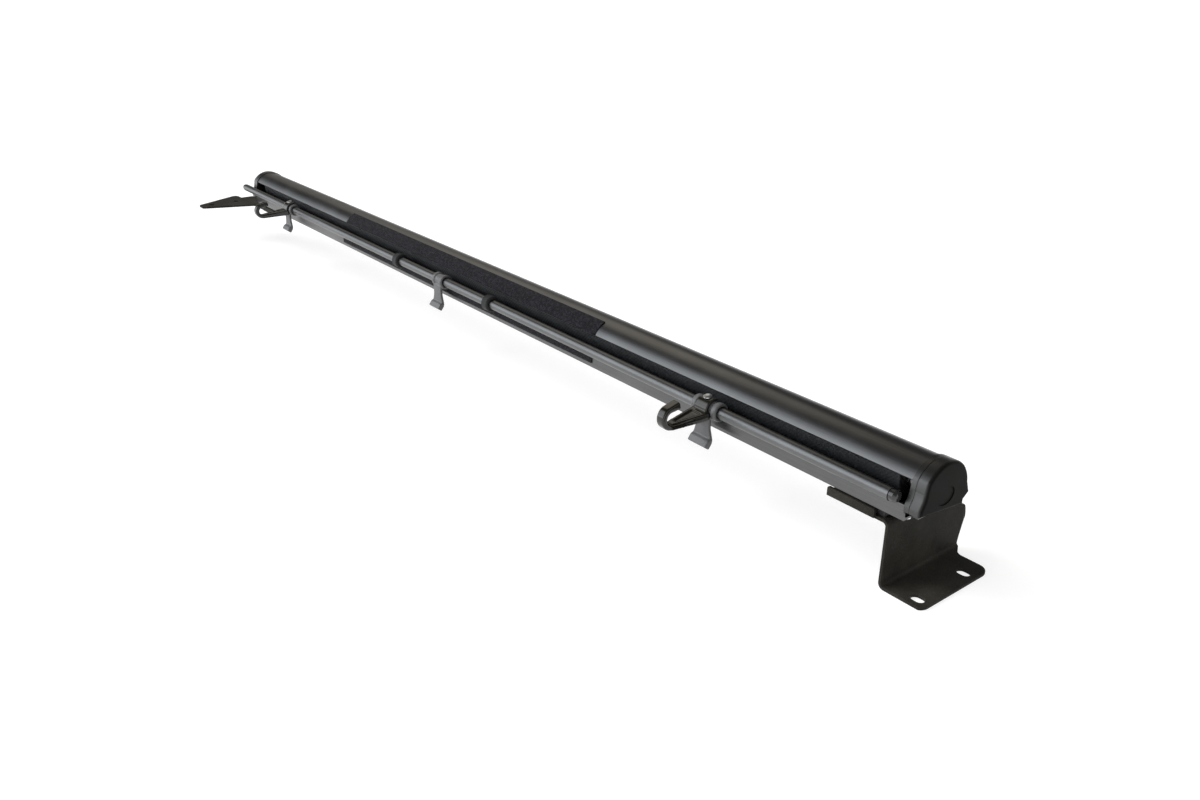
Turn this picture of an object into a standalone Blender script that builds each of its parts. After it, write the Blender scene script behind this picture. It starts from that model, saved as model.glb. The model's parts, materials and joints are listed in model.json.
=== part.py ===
"""Bed cargo bar: a spring-roller screen in an aluminium rail, drawn out by a tube with two hooks.

The bar frame has X along the rail (right is +X), Y = 0 on the rail's front face (back is +Y)
and Z = 0 on the rail's underside. Outlines square to X are lists of (Y, Z).
"""

import math

import bmesh
import bpy
from mathutils import Vector

# General
CLEARANCE = 0.0003
CHORD_ERROR = 0.00004

# Rail: the lower extrusion, an open tray with a front lip and a back wall
RAIL_LENGTH = 1.414
RAIL_DEPTH = 0.0517
RAIL_WALL = 0.0022
RAIL_BACK_HEIGHT = 0.0200
RAIL_HEEL_RADIUS = 0.0030
LIP_HEIGHT = 0.0155
LIP_WALL = 0.0026
LIP_ROUND = 0.0010
SKIRT_HEIGHT = 0.0036
SKIRT_INSET = 0.0007
FLOOR_FILLET = 0.0020

# Hood: the upper extrusion, a round cover open at the front
HOOD_RADIUS = 0.0285
HOOD_WALL = 0.0020
HOOD_BACK_OVERHANG = 0.0068
HOOD_CENTRE_HEIGHT = 0.0205
HOOD_FRONT_ANGLE = math.radians(146)
HOOD_BACK_ANGLE = math.radians(-14)

# Roller with its wound screen
ROLLER_SET_BACK = 0.0005
ROLLER_RADIUS = 0.0095
ROLLER_WALL = 0.0012
ROLLER_GAP_RIGHT = 0.0120
ROLLER_GAP_LEFT = 0.0120
ROLL_HOOD_GAP = 0.0080
ROLL_BUMPER_GAP = 0.0020
ROLL_FLOOR_GAP = 0.0026
ROLL_GAP_RIGHT = 0.0160
ROLL_GAP_LEFT = 0.0160
SCREEN_THICKNESS = 0.0008
PLUG_LENGTH = 0.0160
PLUG_RIM = 0.0030
PIN_RADIUS = 0.0030
PIN_LENGTH = 0.0300
BUSH_WALL = 0.0018
MANDREL_RADIUS = 0.0052
MANDREL_LENGTH = 0.2300
SPRING_WIRE = 0.0014
SPRING_TURNS = 16
SPRING_LENGTH = 0.1500
SPRING_POINTS = 10
COLLAR_LENGTH = 0.0100

# End caps
CAP_THICKNESS = 0.0160
CAP_OVERHANG = 0.0012
CAP_ROUND = 0.0040
CAP_RAISE_FRONT = 0.0100
CAP_RAISE_BACK = 0.0035
CAP_TAIL = 0.0040
CAP_TAIL_ANGLE = math.radians(8)
CAP_TONGUE_LENGTH = 0.0140
CAP_TONGUE_HEIGHT = 0.0030
CAP_TONGUE_INSET = 0.0060
CAP_BOSS_RADIUS = 0.0075
CAP_BOSS_LENGTH = 0.0070
CAP_SCREW_INSET = 0.0070
CAP_SCREW_MARGIN = 0.0070
CAP_PAD_SIZE = (0.0110, 0.0085)
CAP_PAD_DEPTH = 0.0008

# Pull tube, which holds the screen's hem in its slot
TUBE_STAND_OFF = 0.0060
TUBE_RADIUS = 0.00575
TUBE_BORE = 0.0042
TUBE_END_GAP = 0.0095
TUBE_OVERHANG = 0.0265
TUBE_SLOT = 0.0026
HEM_RADIUS = 0.0026
TUBE_PLUG_HEAD = 0.0080
TUBE_PLUG_STEM = 0.0100
TUBE_PLUG_RADIUS = 0.0051
BUMPER_RADIUS = 0.0097
BUMPER_WIDTH = 0.0120
BUMPER_X = 0.1180

# Hooks, saddles and finger tabs on the tube
HOOK_X = 0.5065
SADDLE_LENGTH = 0.0330
SADDLE_BARREL = 0.0078
SADDLE_FLANGE_GAP = 0.0005
SADDLE_FLANGE_WIDTH = 0.0060
PULL_SADDLE_LENGTH = 0.0240
TAB_THICKNESS = 0.0032
TAB_FRONT = 0.0050
TAB_DROP = 0.0350
TAB_FLARE = 0.0060
TAB_FLARE_HEIGHT = 0.0070
TAB_TOP_WIDTH = 0.0185
TAB_END_WIDTH = 0.0250
TAB_LIP_THICKNESS = 0.0066
TAB_CORNER = 0.0035
TAB_EDGE_ROUND = 0.0009
HOOK_WIDTH = 0.0100
HOOK_THICKNESS = 0.0060
HOOK_FAN_WIDTH = 0.0240
HOOK_ROOT_THICKNESS = 0.0084
HOOK_TIP_THICKNESS = 0.0074
HOOK_SHIFT = 0.0010
HOOK_EYE_WIDTH = 0.0160
HOOK_EYE_WALL = 0.0030
HOOK_EYE_START = math.radians(66)
HOOK_EYE_END = math.radians(235)
HOOK_REACH = 0.0490
HOOK_DROP = 0.0055
HOOK_ROOT_DROP = 0.0035
HOOK_BEND_RADIUS = 0.0088
HOOK_TIP_LENGTH = 0.0115
HOOK_TIP_RISE = math.radians(10)
HOOK_EDGE_ROUND = 0.0013
HOOK_SCREW_ANGLE = math.radians(98)
HOOK_SCREW_RADIUS = 0.0042
HOOK_SCREW_SHANK = 0.0015
HOOK_GROOVE_DEPTH = 0.0014

# Loop strips
HOOD_STRIP_LENGTH = 0.6260
HOOD_STRIP_ANGLES = (math.radians(109.5), math.radians(145))
HOOD_STRIP_THICKNESS = 0.0020
LIP_STRIP_LENGTH = 0.6320
LIP_STRIP_THICKNESS = 0.0017
LIP_STRIP_DROP = 0.0031
LIP_STRIP_WIDTH = 0.0064

# Brackets, folded from one gauge of plate
PLATE = 0.0030
FLANGE_INSET = 0.0165
FLANGE_LENGTH = 0.0615
FLANGE_DEPTH = 0.0500
FLANGE_SET_BACK = 0.0020
BRACKET_DROP = 0.0106
BRACKET_LIP_TOP = 0.0014
BRACKET_LIP_BOTTOM = 0.0098
BRACKET_LIP_LENGTH = 0.0500
BRACKET_LIP_INSET = 0.0008
BEND_RADIUS = 0.0030
FOOT_DROP = 0.0722
FOOT_WIDTH = 0.0444
FOOT_DEPTH = 0.0967
FOOT_CORNER = 0.0100
FOOT_FILLET = 0.0080
WEB_BACK_HIGH = 0.1130
WEB_BACK_LOW = 0.1070
WEB_SHOULDER_DROP = 0.0390
SLOT_WIDTH = 0.0092
SLOT_LENGTH = 0.0125
RIGHT_SLOT_Y = (0.0122, 0.0752)
RIGHT_SLOT_OUT = 0.0163
TONGUE_REACH = 0.1165
TONGUE_LENGTH = 0.0810
TONGUE_TIP_WIDTH = 0.0220
TONGUE_TIP_OUT = 0.0640
TONGUE_NECK = 0.0900
TONGUE_ROOT = 0.0190
TONGUE_CORNER = 0.0070
LEFT_SLOTS = ((0.0658, -0.0160), (0.0644, -0.0610))
PAD_INSET = 0.0040

# Fasteners
BOLT_SPACING = 0.0280
BOLT_Y = 0.0260
BOLT_RADIUS = 0.0024
BOLT_HEAD_RADIUS = 0.0050
BOLT_HEAD_HEIGHT = 0.0016
NUT_PLATE_SIZE = (0.0460, 0.0180, 0.0024)
SCREW_RADIUS = 0.0019
SCREW_HEAD_RADIUS = 0.0034
SCREW_HEAD_HEIGHT = 0.0020

# Sizes worked out from the ones above
HALF = RAIL_LENGTH / 2
RAIL_INNER_BACK = RAIL_DEPTH - RAIL_WALL
NUT_PLATE_LOW = RAIL_WALL + CLEARANCE
NUT_PLATE_HIGH = NUT_PLATE_LOW + NUT_PLATE_SIZE[2]
HOOD_CENTRE = (RAIL_DEPTH + HOOD_BACK_OVERHANG - HOOD_RADIUS, HOOD_CENTRE_HEIGHT)
ROLLER_Y = HOOD_CENTRE[0] + ROLLER_SET_BACK
ROLL_FRONT_ROOM = ROLLER_Y + TUBE_STAND_OFF - BUMPER_RADIUS - ROLL_BUMPER_GAP
ROLL_RADIUS = min(HOOD_RADIUS - HOOD_WALL - ROLL_HOOD_GAP, ROLL_FRONT_ROOM)
ROLLER_CENTRE = (ROLLER_Y, NUT_PLATE_HIGH + ROLL_FLOOR_GAP + ROLL_RADIUS)
CAP_TONGUE_FRONT = LIP_WALL + CAP_TONGUE_INSET
CAP_TONGUE_BACK = RAIL_INNER_BACK - CAP_TONGUE_INSET
CAP_SCREW_ROWS = (CAP_TONGUE_FRONT + CAP_SCREW_MARGIN, CAP_TONGUE_BACK - CAP_SCREW_MARGIN)
LIP_STRIP_HIGH = LIP_HEIGHT - LIP_STRIP_DROP
LIP_STRIP_LOW = LIP_STRIP_HIGH - LIP_STRIP_WIDTH
BUMPER_REST = BUMPER_RADIUS + CLEARANCE + LIP_ROUND
TUBE_REST = math.sqrt(BUMPER_REST**2 - (TUBE_STAND_OFF + LIP_ROUND) ** 2)
TUBE_CENTRE = (-TUBE_STAND_OFF, LIP_HEIGHT - LIP_ROUND + TUBE_REST)
SADDLE_FLANGE = BUMPER_RADIUS - SADDLE_FLANGE_GAP
SADDLE_BORE = TUBE_RADIUS + CLEARANCE
TAB_TOP = -math.sqrt(max(0.0, SADDLE_BORE**2 - TAB_FRONT**2)) - 2 * CLEARANCE
ROLL_HIGH = HALF - ROLL_GAP_RIGHT
ROLL_LOW = -HALF + ROLL_GAP_LEFT
TUBE_HALF = HALF + (TUBE_OVERHANG - TUBE_END_GAP) / 2
TUBE_MIDDLE = -(TUBE_OVERHANG + TUBE_END_GAP) / 2
FLANGE_TOP = PLATE - BRACKET_DROP
FLANGE_MIDDLE = HALF - FLANGE_INSET - FLANGE_LENGTH / 2
BOLT_X = (FLANGE_MIDDLE - BOLT_SPACING / 2, FLANGE_MIDDLE + BOLT_SPACING / 2)
RIGHT_REACH = FOOT_WIDTH - FLANGE_INSET
ORIGIN = Vector((
    (TONGUE_REACH - RIGHT_REACH) / 2,
    (TONGUE_LENGTH - WEB_BACK_HIGH) / 2,
    FOOT_DROP,
))


# Scene, materials and parenting


def clear_scene():
    """Removes every object, and leaves one collection for the parts and one for the cutters."""
    for old in list(bpy.data.objects):
        bpy.data.objects.remove(old, do_unlink=True)
    made = []
    for name in ("bed_cargo_bar", "cutters"):
        group = bpy.data.collections.new(name)
        bpy.context.scene.collection.children.link(group)
        made.append(group)
    return made


PARTS, CUTTERS = clear_scene()


def finish(name, colour, roughness, metallic):
    """A Principled material."""
    made = bpy.data.materials.new(name)
    made.use_nodes = True
    shader = made.node_tree.nodes["Principled BSDF"]
    shader.inputs["Base Color"].default_value = (*colour, 1.0)
    shader.inputs["Roughness"].default_value = roughness
    shader.inputs["Metallic"].default_value = metallic
    return made


FINISHES = {
    "rail_metal": finish("rail_metal", (0.045, 0.046, 0.048), 0.38, 0.6),
    "tube_metal": finish("tube_metal", (0.060, 0.062, 0.064), 0.36, 0.6),
    "bracket_paint": finish("bracket_paint", (0.016, 0.015, 0.013), 0.45, 0.1),
    "cap_plastic": finish("cap_plastic", (0.028, 0.028, 0.030), 0.55, 0.0),
    "tab_plastic": finish("tab_plastic", (0.050, 0.050, 0.054), 0.50, 0.0),
    "hook_metal": finish("hook_metal", (0.020, 0.019, 0.016), 0.25, 0.3),
    "black_rubber": finish("black_rubber", (0.012, 0.012, 0.012), 0.75, 0.0),
    "loop_fabric": finish("loop_fabric", (0.010, 0.009, 0.013), 0.95, 0.0),
    "screen_mesh": finish("screen_mesh", (0.018, 0.019, 0.022), 0.80, 0.0),
    "steel": finish("steel", (0.45, 0.45, 0.46), 0.30, 1.0),
    "nylon": finish("nylon", (0.70, 0.69, 0.65), 0.45, 0.0),
}


def empty(name, place, parent=None):
    """An axis or a frame that parts hang on."""
    made = bpy.data.objects.new(name, None)
    made.empty_display_size = 0.02
    made.location = place
    made.parent = parent
    PARTS.objects.link(made)
    return made


BAR = empty("bar_frame", ORIGIN)
PULL_BAR = empty("pull_bar_axis", (TUBE_MIDDLE, *TUBE_CENTRE), BAR)
ROLLER = empty("roller_axis", (0, *ROLLER_CENTRE), BAR)


def part(name, mesh, finish_name, parent=BAR, place=(0, 0, 0), turn=(0, 0, 0)):
    """A sub-part, with its finish, in the frame of its parent."""
    made = bpy.data.objects.new(name, mesh)
    mesh.materials.clear()
    mesh.materials.append(FINISHES[finish_name])
    made.parent = parent
    made.location = place
    made.rotation_euler = turn
    PARTS.objects.link(made)
    return made


def cutter(name, mesh, parent=BAR, place=(0, 0, 0), turn=(0, 0, 0)):
    """A shape that only cuts or joins another."""
    made = bpy.data.objects.new(name, mesh)
    made.parent = parent
    made.location = place
    made.rotation_euler = turn
    made.hide_render = True
    made.display_type = "WIRE"
    CUTTERS.objects.link(made)
    return made


def boolean(target, other, operation):
    """Cuts, joins or trims the target with another shape."""
    step = target.modifiers.new(f"{operation.lower()}_{other.name}", "BOOLEAN")
    step.operation = operation
    step.object = other
    step.solver = "EXACT"
    return target


def round_edges(target, width):
    """Rounds a shape's sharp edges."""
    bevel = target.modifiers.new("round_edges", "BEVEL")
    bevel.width = width
    bevel.segments = 2
    bevel.limit_method = "ANGLE"
    bevel.angle_limit = math.radians(50)


# Outlines and shapes


def arc(centre, radius, start, end):
    """Points along an arc, from one angle to another, close enough to stay within the chord error."""
    step = 2 * math.acos(1 - CHORD_ERROR / radius)
    count = max(2, math.ceil(abs(end - start) / step) + 1)
    points = []
    for index in range(count):
        angle = start + (end - start) * index / (count - 1)
        points.append((centre[0] + radius * math.cos(angle), centre[1] + radius * math.sin(angle)))
    return points


def circle(centre, radius, sides=20):
    """Points round a full circle."""
    angles = [math.tau * i / sides for i in range(sides)]
    return [(centre[0] + radius * math.cos(a), centre[1] + radius * math.sin(a)) for a in angles]


def rounded(corners, radii):
    """An outline whose corners are rounded, each by its own radius; a radius of 0 stays sharp."""
    points = []
    count = len(corners)
    for index, (corner, radius) in enumerate(zip(corners, radii)):
        here = Vector(corner)
        if radius == 0:
            points.append(tuple(here))
            continue
        before = (Vector(corners[index - 1]) - here).normalized()
        after = (Vector(corners[(index + 1) % count]) - here).normalized()
        half = before.angle(after) / 2
        reach = radius / math.tan(half)
        centre = here + (before + after).normalized() * (radius / math.sin(half))
        first = here + before * reach - centre
        last = here + after * reach - centre
        sweep = first.angle_signed(last)
        steps = max(2, math.ceil(abs(sweep) / (2 * math.acos(1 - CHORD_ERROR / radius))))
        start = math.atan2(first.y, first.x)
        for step in range(steps + 1):
            angle = start - sweep * step / steps
            points.append((centre.x + radius * math.cos(angle), centre.y + radius * math.sin(angle)))
    return points


def slot(centre, length, width):
    """A round-ended slot along the first axis."""
    half = (length - width) / 2
    right = arc((centre[0] + half, centre[1]), width / 2, -math.pi / 2, math.pi / 2)
    left = arc((centre[0] - half, centre[1]), width / 2, math.pi / 2, 3 * math.pi / 2)
    return right + left


def band(line, halves):
    """The outline of a strip that follows a line, with half its thickness given at each point."""
    one, other = [], []
    for index, (point, half) in enumerate(zip(line, halves)):
        here = Vector(point)
        ahead = Vector(line[min(index + 1, len(line) - 1)])
        behind = Vector(line[max(index - 1, 0)])
        along = (ahead - behind).normalized()
        across = Vector((-along.y, along.x)) * half
        one.append(tuple(here + across))
        other.append(tuple(here - across))
    return one + other[::-1]


AXES = {
    "X": (Vector((0, 1, 0)), Vector((0, 0, 1)), Vector((1, 0, 0))),
    "Y": (Vector((1, 0, 0)), Vector((0, 0, 1)), Vector((0, 1, 0))),
    "Z": (Vector((1, 0, 0)), Vector((0, 1, 0)), Vector((0, 0, 1))),
}


def prism(name, outlines, low, high, axis="X"):
    """Flat outlines carried along an axis, from low to high, as one mesh."""
    first, second, along = AXES[axis]
    shape = bmesh.new()
    for outline in outlines:
        base = shape.faces.new([shape.verts.new(first * u + second * v + along * low) for u, v in outline])
        grown = bmesh.ops.extrude_face_region(shape, geom=[base])
        moved = [item for item in grown["geom"] if isinstance(item, bmesh.types.BMVert)]
        bmesh.ops.translate(shape, verts=moved, vec=along * (high - low))
    bmesh.ops.recalc_face_normals(shape, faces=shape.faces)
    return into_mesh(shape, name)


def block(name, low, high):
    """A box between two corners."""
    outline = [(low[0], low[1]), (high[0], low[1]), (high[0], high[1]), (low[0], high[1])]
    return prism(name, [outline], low[2], high[2], "Z")


def into_mesh(shape, name):
    """A bmesh as a mesh, shaded smooth on its round faces."""
    mesh = bpy.data.meshes.new(name)
    shape.to_mesh(mesh)
    shape.free()
    mesh.shade_smooth()
    mesh.set_sharp_from_angle(angle=math.radians(35))
    return mesh


def turned_part(name, profile, finish_name, parent, place, turn, closed=False, sides=20):
    """A sub-part turned round local Z from (radius, height) points that run down its outer side."""
    mesh = bpy.data.meshes.new(name)
    count = len(profile)
    edges = [(i, i + 1) for i in range(count - 1)]
    if closed:
        edges.append((count - 1, 0))
    mesh.from_pydata([(radius, 0, height) for radius, height in profile], edges, [])
    made = part(name, mesh, finish_name, parent, place, turn)
    screw = made.modifiers.new("turn", "SCREW")
    screw.axis = "Z"
    screw.steps = sides
    screw.render_steps = sides
    screw.use_merge_vertices = True
    screw.merge_threshold = 0.00001
    screw.use_smooth_shade = True
    return made


ALONG_X = (0, math.pi / 2, 0)


def ring_profile(inner, outer, low, high):
    """A sleeve's profile."""
    return [(outer, high), (outer, low), (inner, low), (inner, high)]


def rod_profile(radius, low, high, chamfer=0.0):
    """A plain rod's profile, with a chamfer at its high end."""
    top = [(0, high), (radius - chamfer, high)] if chamfer else [(0, high)]
    return top + [(radius, high - chamfer), (radius, low), (0, low)]


# Rail and hood


def rail_outline():
    """The tray's section: a skirt, the front lip, the floor and the back wall."""
    lip_middle = LIP_HEIGHT - LIP_ROUND
    fillet = (LIP_WALL + FLOOR_FILLET, RAIL_WALL + FLOOR_FILLET)
    heel = (RAIL_DEPTH - RAIL_HEEL_RADIUS, RAIL_HEEL_RADIUS)
    outline = [(2 * SKIRT_INSET, 0), (SKIRT_INSET, SKIRT_INSET), (SKIRT_INSET, SKIRT_HEIGHT)]
    outline += [(0, SKIRT_HEIGHT + SKIRT_INSET)]
    outline += arc((LIP_ROUND, lip_middle), LIP_ROUND, math.pi, math.pi / 2)
    outline += arc((LIP_WALL - LIP_ROUND, lip_middle), LIP_ROUND, math.pi / 2, 0)
    outline += arc(fillet, FLOOR_FILLET, math.pi, 1.5 * math.pi)
    outline += [(RAIL_INNER_BACK, RAIL_WALL), (RAIL_INNER_BACK, RAIL_BACK_HEIGHT)]
    outline.append((RAIL_DEPTH, RAIL_BACK_HEIGHT))
    outline += arc(heel, RAIL_HEEL_RADIUS, 0, -math.pi / 2)
    return outline


def hood_outline():
    """The cover's section: a round shell with a beaded front edge and a return along the back."""
    inner = HOOD_RADIUS - HOOD_WALL
    return_low = HOOD_CENTRE[1] + HOOD_RADIUS * math.sin(HOOD_BACK_ANGLE)
    return_high = return_low + HOOD_WALL
    return_end = RAIL_DEPTH + CLEARANCE
    inner_back = math.asin((return_high - HOOD_CENTRE[1]) / inner)
    middle = HOOD_RADIUS - HOOD_WALL / 2
    bead = (
        HOOD_CENTRE[0] + middle * math.cos(HOOD_FRONT_ANGLE),
        HOOD_CENTRE[1] + middle * math.sin(HOOD_FRONT_ANGLE),
    )
    outline = arc(HOOD_CENTRE, HOOD_RADIUS, HOOD_BACK_ANGLE, HOOD_FRONT_ANGLE)
    bead_arc = arc(bead, HOOD_WALL / 2, HOOD_FRONT_ANGLE, HOOD_FRONT_ANGLE + math.pi)
    outline += bead_arc[1:-1]
    outline += arc(HOOD_CENTRE, inner, HOOD_FRONT_ANGLE, inner_back)
    return outline + [(return_end, return_high), (return_end, return_low)]


def bolt_places():
    """The four bracket bolts, as (X, Y)."""
    return [(side * x, BOLT_Y) for side in (-1, 1) for x in BOLT_X]


def cap_screw_places():
    """The four cap screws, as (X, Y)."""
    return [(side * (HALF - CAP_SCREW_INSET), y) for side in (-1, 1) for y in CAP_SCREW_ROWS]


def make_rail():
    """The tray, drilled for the bracket bolts and the cap screws."""
    rail = part("rail", prism("rail", [rail_outline()], -HALF, HALF), "rail_metal")
    holes = [circle(place, BOLT_RADIUS + CLEARANCE, 12) for place in bolt_places()]
    holes += [circle(place, SCREW_RADIUS + CLEARANCE, 12) for place in cap_screw_places()]
    drills = cutter("rail_drills", prism("rail_drills", holes, -RAIL_WALL, 2 * RAIL_WALL, "Z"))
    boolean(rail, drills, "DIFFERENCE")


def make_hood():
    """The round cover."""
    part("hood", prism("hood", [hood_outline()], -HALF, HALF), "rail_metal")


def make_loop_strips():
    """A strip of loop fabric on the hood, and one on the rail's front face."""
    inner = HOOD_RADIUS + CLEARANCE
    low, high = HOOD_STRIP_ANGLES
    outline = arc(HOOD_CENTRE, inner + HOOD_STRIP_THICKNESS, low, high)
    outline += arc(HOOD_CENTRE, inner, high, low)
    half = HOOD_STRIP_LENGTH / 2
    mesh = prism("hood_loop_strip", [outline], TUBE_MIDDLE - half, TUBE_MIDDLE + half)
    part("hood_loop_strip", mesh, "loop_fabric")
    half = LIP_STRIP_LENGTH / 2
    low = (TUBE_MIDDLE - half, -CLEARANCE - LIP_STRIP_THICKNESS, LIP_STRIP_LOW)
    high = (TUBE_MIDDLE + half, -CLEARANCE, LIP_STRIP_HIGH)
    part("lip_loop_strip", block("lip_loop_strip", low, high), "loop_fabric")


# End caps


def cap_outline():
    """The cap's section: rail and hood together, a little proud, with a raised foot and a tail behind."""
    over = CAP_OVERHANG
    outer = HOOD_RADIUS + over
    heel = HOOD_CENTRE[1] + outer * math.sin(HOOD_BACK_ANGLE) - over
    back = RAIL_DEPTH + over + CAP_TAIL
    cheek = (LIP_WALL, LIP_HEIGHT + 3 * LIP_WALL)
    outline = [(-over, CAP_RAISE_FRONT), (back, CAP_RAISE_BACK), (back, heel - CAP_TAIL)]
    outline += [(HOOD_CENTRE[0] + outer + CAP_TAIL, heel + over)]
    outline += arc(HOOD_CENTRE, outer, CAP_TAIL_ANGLE, HOOD_FRONT_ANGLE)
    return outline + [cheek, (-over, LIP_HEIGHT)]


def make_cap(name, side):
    """An end cap: a rounded face, a set-back heel, a tongue on the rail's floor and the roller's boss."""
    shape = bmesh.new()
    low, high = HALF + CLEARANCE, HALF + CLEARANCE + CAP_THICKNESS
    base = shape.faces.new([shape.verts.new((side * low, y, z)) for y, z in cap_outline()])
    grown = bmesh.ops.extrude_face_region(shape, geom=[base])
    moved = [item for item in grown["geom"] if isinstance(item, bmesh.types.BMVert)]
    bmesh.ops.translate(shape, verts=moved, vec=(side * (high - low), 0, 0))
    rim = [edge for edge in shape.edges if all(abs(v.co.x) > high - CLEARANCE for v in edge.verts)]
    bmesh.ops.bevel(
        shape, geom=rim, offset=CAP_ROUND, segments=3, profile=0.5, affect="EDGES", clamp_overlap=True
    )
    bmesh.ops.recalc_face_normals(shape, faces=shape.faces)
    cap = part(name, into_mesh(shape, name), "cap_plastic")

    floor = RAIL_WALL + CLEARANCE
    inside = sorted((side * (HALF - CAP_TONGUE_LENGTH), side * (low + CAP_THICKNESS / 4)))
    tongue = block(
        f"{name}_tongue",
        (inside[0], CAP_TONGUE_FRONT, floor),
        (inside[1], CAP_TONGUE_BACK, floor + CAP_TONGUE_HEIGHT),
    )
    boolean(cap, cutter(f"{name}_tongue", tongue), "UNION")
    ends = sorted((side * (low + CAP_THICKNESS / 8), side * (low + CAP_THICKNESS / 2)))
    heel = block(
        f"{name}_heel",
        (ends[0], CAP_TONGUE_FRONT, floor),
        (ends[1], CAP_TONGUE_BACK, CAP_RAISE_FRONT + CAP_TONGUE_HEIGHT),
    )
    boolean(cap, cutter(f"{name}_heel", heel), "UNION")
    ends = sorted((side * (HALF - CAP_BOSS_LENGTH), side * (low + CAP_THICKNESS / 4)))
    boss = prism(f"{name}_boss", [circle(ROLLER_CENTRE, CAP_BOSS_RADIUS)], *ends)
    boolean(cap, cutter(f"{name}_boss", boss), "UNION")

    support = MANDREL_RADIUS if side > 0 else PIN_RADIUS
    ends = sorted((side * (HALF - 2 * CAP_BOSS_LENGTH), side * (low + CAP_THICKNESS / 2)))
    socket = prism(f"{name}_socket", [circle(ROLLER_CENTRE, support + CLEARANCE)], *ends)
    boolean(cap, cutter(f"{name}_socket", socket), "DIFFERENCE")
    row = side * (HALF - CAP_SCREW_INSET)
    holes = [circle((row, y), SCREW_RADIUS + CLEARANCE, 12) for y in CAP_SCREW_ROWS]
    top = floor + CAP_TONGUE_HEIGHT + RAIL_WALL
    drills = cutter(f"{name}_drills", prism(f"{name}_drills", holes, 0, top, "Z"))
    boolean(cap, drills, "DIFFERENCE")
    face = side * high
    pad_outline = [
        (HOOD_CENTRE[0] + CAP_PAD_SIZE[0] * math.cos(math.tau * i / 24),
         HOOD_CENTRE[1] + CAP_PAD_SIZE[1] * math.sin(math.tau * i / 24))
        for i in range(24)
    ]
    ends = sorted((face - side * CAP_PAD_DEPTH, face + side * CAP_PAD_DEPTH))
    boolean(cap, cutter(f"{name}_pad", prism(f"{name}_pad", [pad_outline], *ends)), "DIFFERENCE")


def make_cap_screws():
    """Pan-head screws from below, through the rail's floor into the cap's tongue."""
    top = RAIL_WALL + CLEARANCE + CAP_TONGUE_HEIGHT
    seat = -CLEARANCE
    profile = [(0, top), (SCREW_RADIUS, top), (SCREW_RADIUS, seat), (SCREW_HEAD_RADIUS, seat)]
    profile += [(SCREW_HEAD_RADIUS, seat - SCREW_HEAD_HEIGHT / 2)]
    profile += [(SCREW_HEAD_RADIUS / 2, seat - SCREW_HEAD_HEIGHT), (0, seat - SCREW_HEAD_HEIGHT)]
    names = ("left_cap_screw_front", "left_cap_screw_back", "right_cap_screw_front", "right_cap_screw_back")
    for name, (x, y) in zip(names, cap_screw_places()):
        turned_part(name, profile, "steel", BAR, (x, y, 0), (0, 0, 0), sides=12)


# Roller


def make_roller():
    """The roller tube, the screen wound on it, and its two end plugs."""
    low, high = -HALF + ROLLER_GAP_LEFT, HALF - ROLLER_GAP_RIGHT
    bore = ROLLER_RADIUS - ROLLER_WALL
    profile = ring_profile(bore, ROLLER_RADIUS, low, high)
    turned_part("roller_tube", profile, "steel", ROLLER, (0, 0, 0), ALONG_X, closed=True, sides=24)
    profile = ring_profile(ROLLER_RADIUS + CLEARANCE, ROLL_RADIUS, ROLL_LOW, ROLL_HIGH)
    turned_part("screen_roll", profile, "screen_mesh", ROLLER, (0, 0, 0), ALONG_X, closed=True, sides=36)

    stem = bore - CLEARANCE
    hole = MANDREL_RADIUS + CLEARANCE
    shoulder = high + CLEARANCE
    profile = [(ROLLER_RADIUS, shoulder + PLUG_RIM), (ROLLER_RADIUS, shoulder), (stem, shoulder)]
    profile += [(stem, high - PLUG_LENGTH), (hole, high - PLUG_LENGTH), (hole, shoulder + PLUG_RIM)]
    turned_part("spring_end_plug", profile, "nylon", ROLLER, (0, 0, 0), ALONG_X, closed=True)
    hole = PIN_RADIUS + 2 * CLEARANCE + BUSH_WALL
    shoulder = low - CLEARANCE
    profile = [(stem, low + PLUG_LENGTH), (stem, shoulder), (ROLLER_RADIUS, shoulder)]
    profile += [(ROLLER_RADIUS, shoulder - PLUG_RIM), (hole, shoulder - PLUG_RIM), (hole, low + PLUG_LENGTH)]
    turned_part("idler_end_plug", profile, "nylon", ROLLER, (0, 0, 0), ALONG_X, closed=True)
    inner = PIN_RADIUS + CLEARANCE
    profile = ring_profile(inner, inner + BUSH_WALL, shoulder - PLUG_RIM, low + PLUG_LENGTH)
    turned_part("idler_bush", profile, "steel", ROLLER, (0, 0, 0), ALONG_X, closed=True)


def make_roller_supports():
    """The fixed pin on the left, and on the right the mandrel that the return spring winds on."""
    axis = (0, *ROLLER_CENTRE)
    tip = HALF + CAP_THICKNESS / 2
    profile = rod_profile(PIN_RADIUS, -tip, -tip + PIN_LENGTH)
    turned_part("idler_pin", profile, "steel", BAR, axis, ALONG_X, sides=16)

    collar = MANDREL_RADIUS + SPRING_WIRE
    end = tip - MANDREL_LENGTH
    profile = [(0, tip), (MANDREL_RADIUS, tip), (MANDREL_RADIUS, end + COLLAR_LENGTH)]
    profile += [(collar, end + COLLAR_LENGTH), (collar, end), (0, end)]
    turned_part("spring_mandrel", profile, "nylon", BAR, axis, ALONG_X)
    make_return_spring(end + COLLAR_LENGTH)


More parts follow.
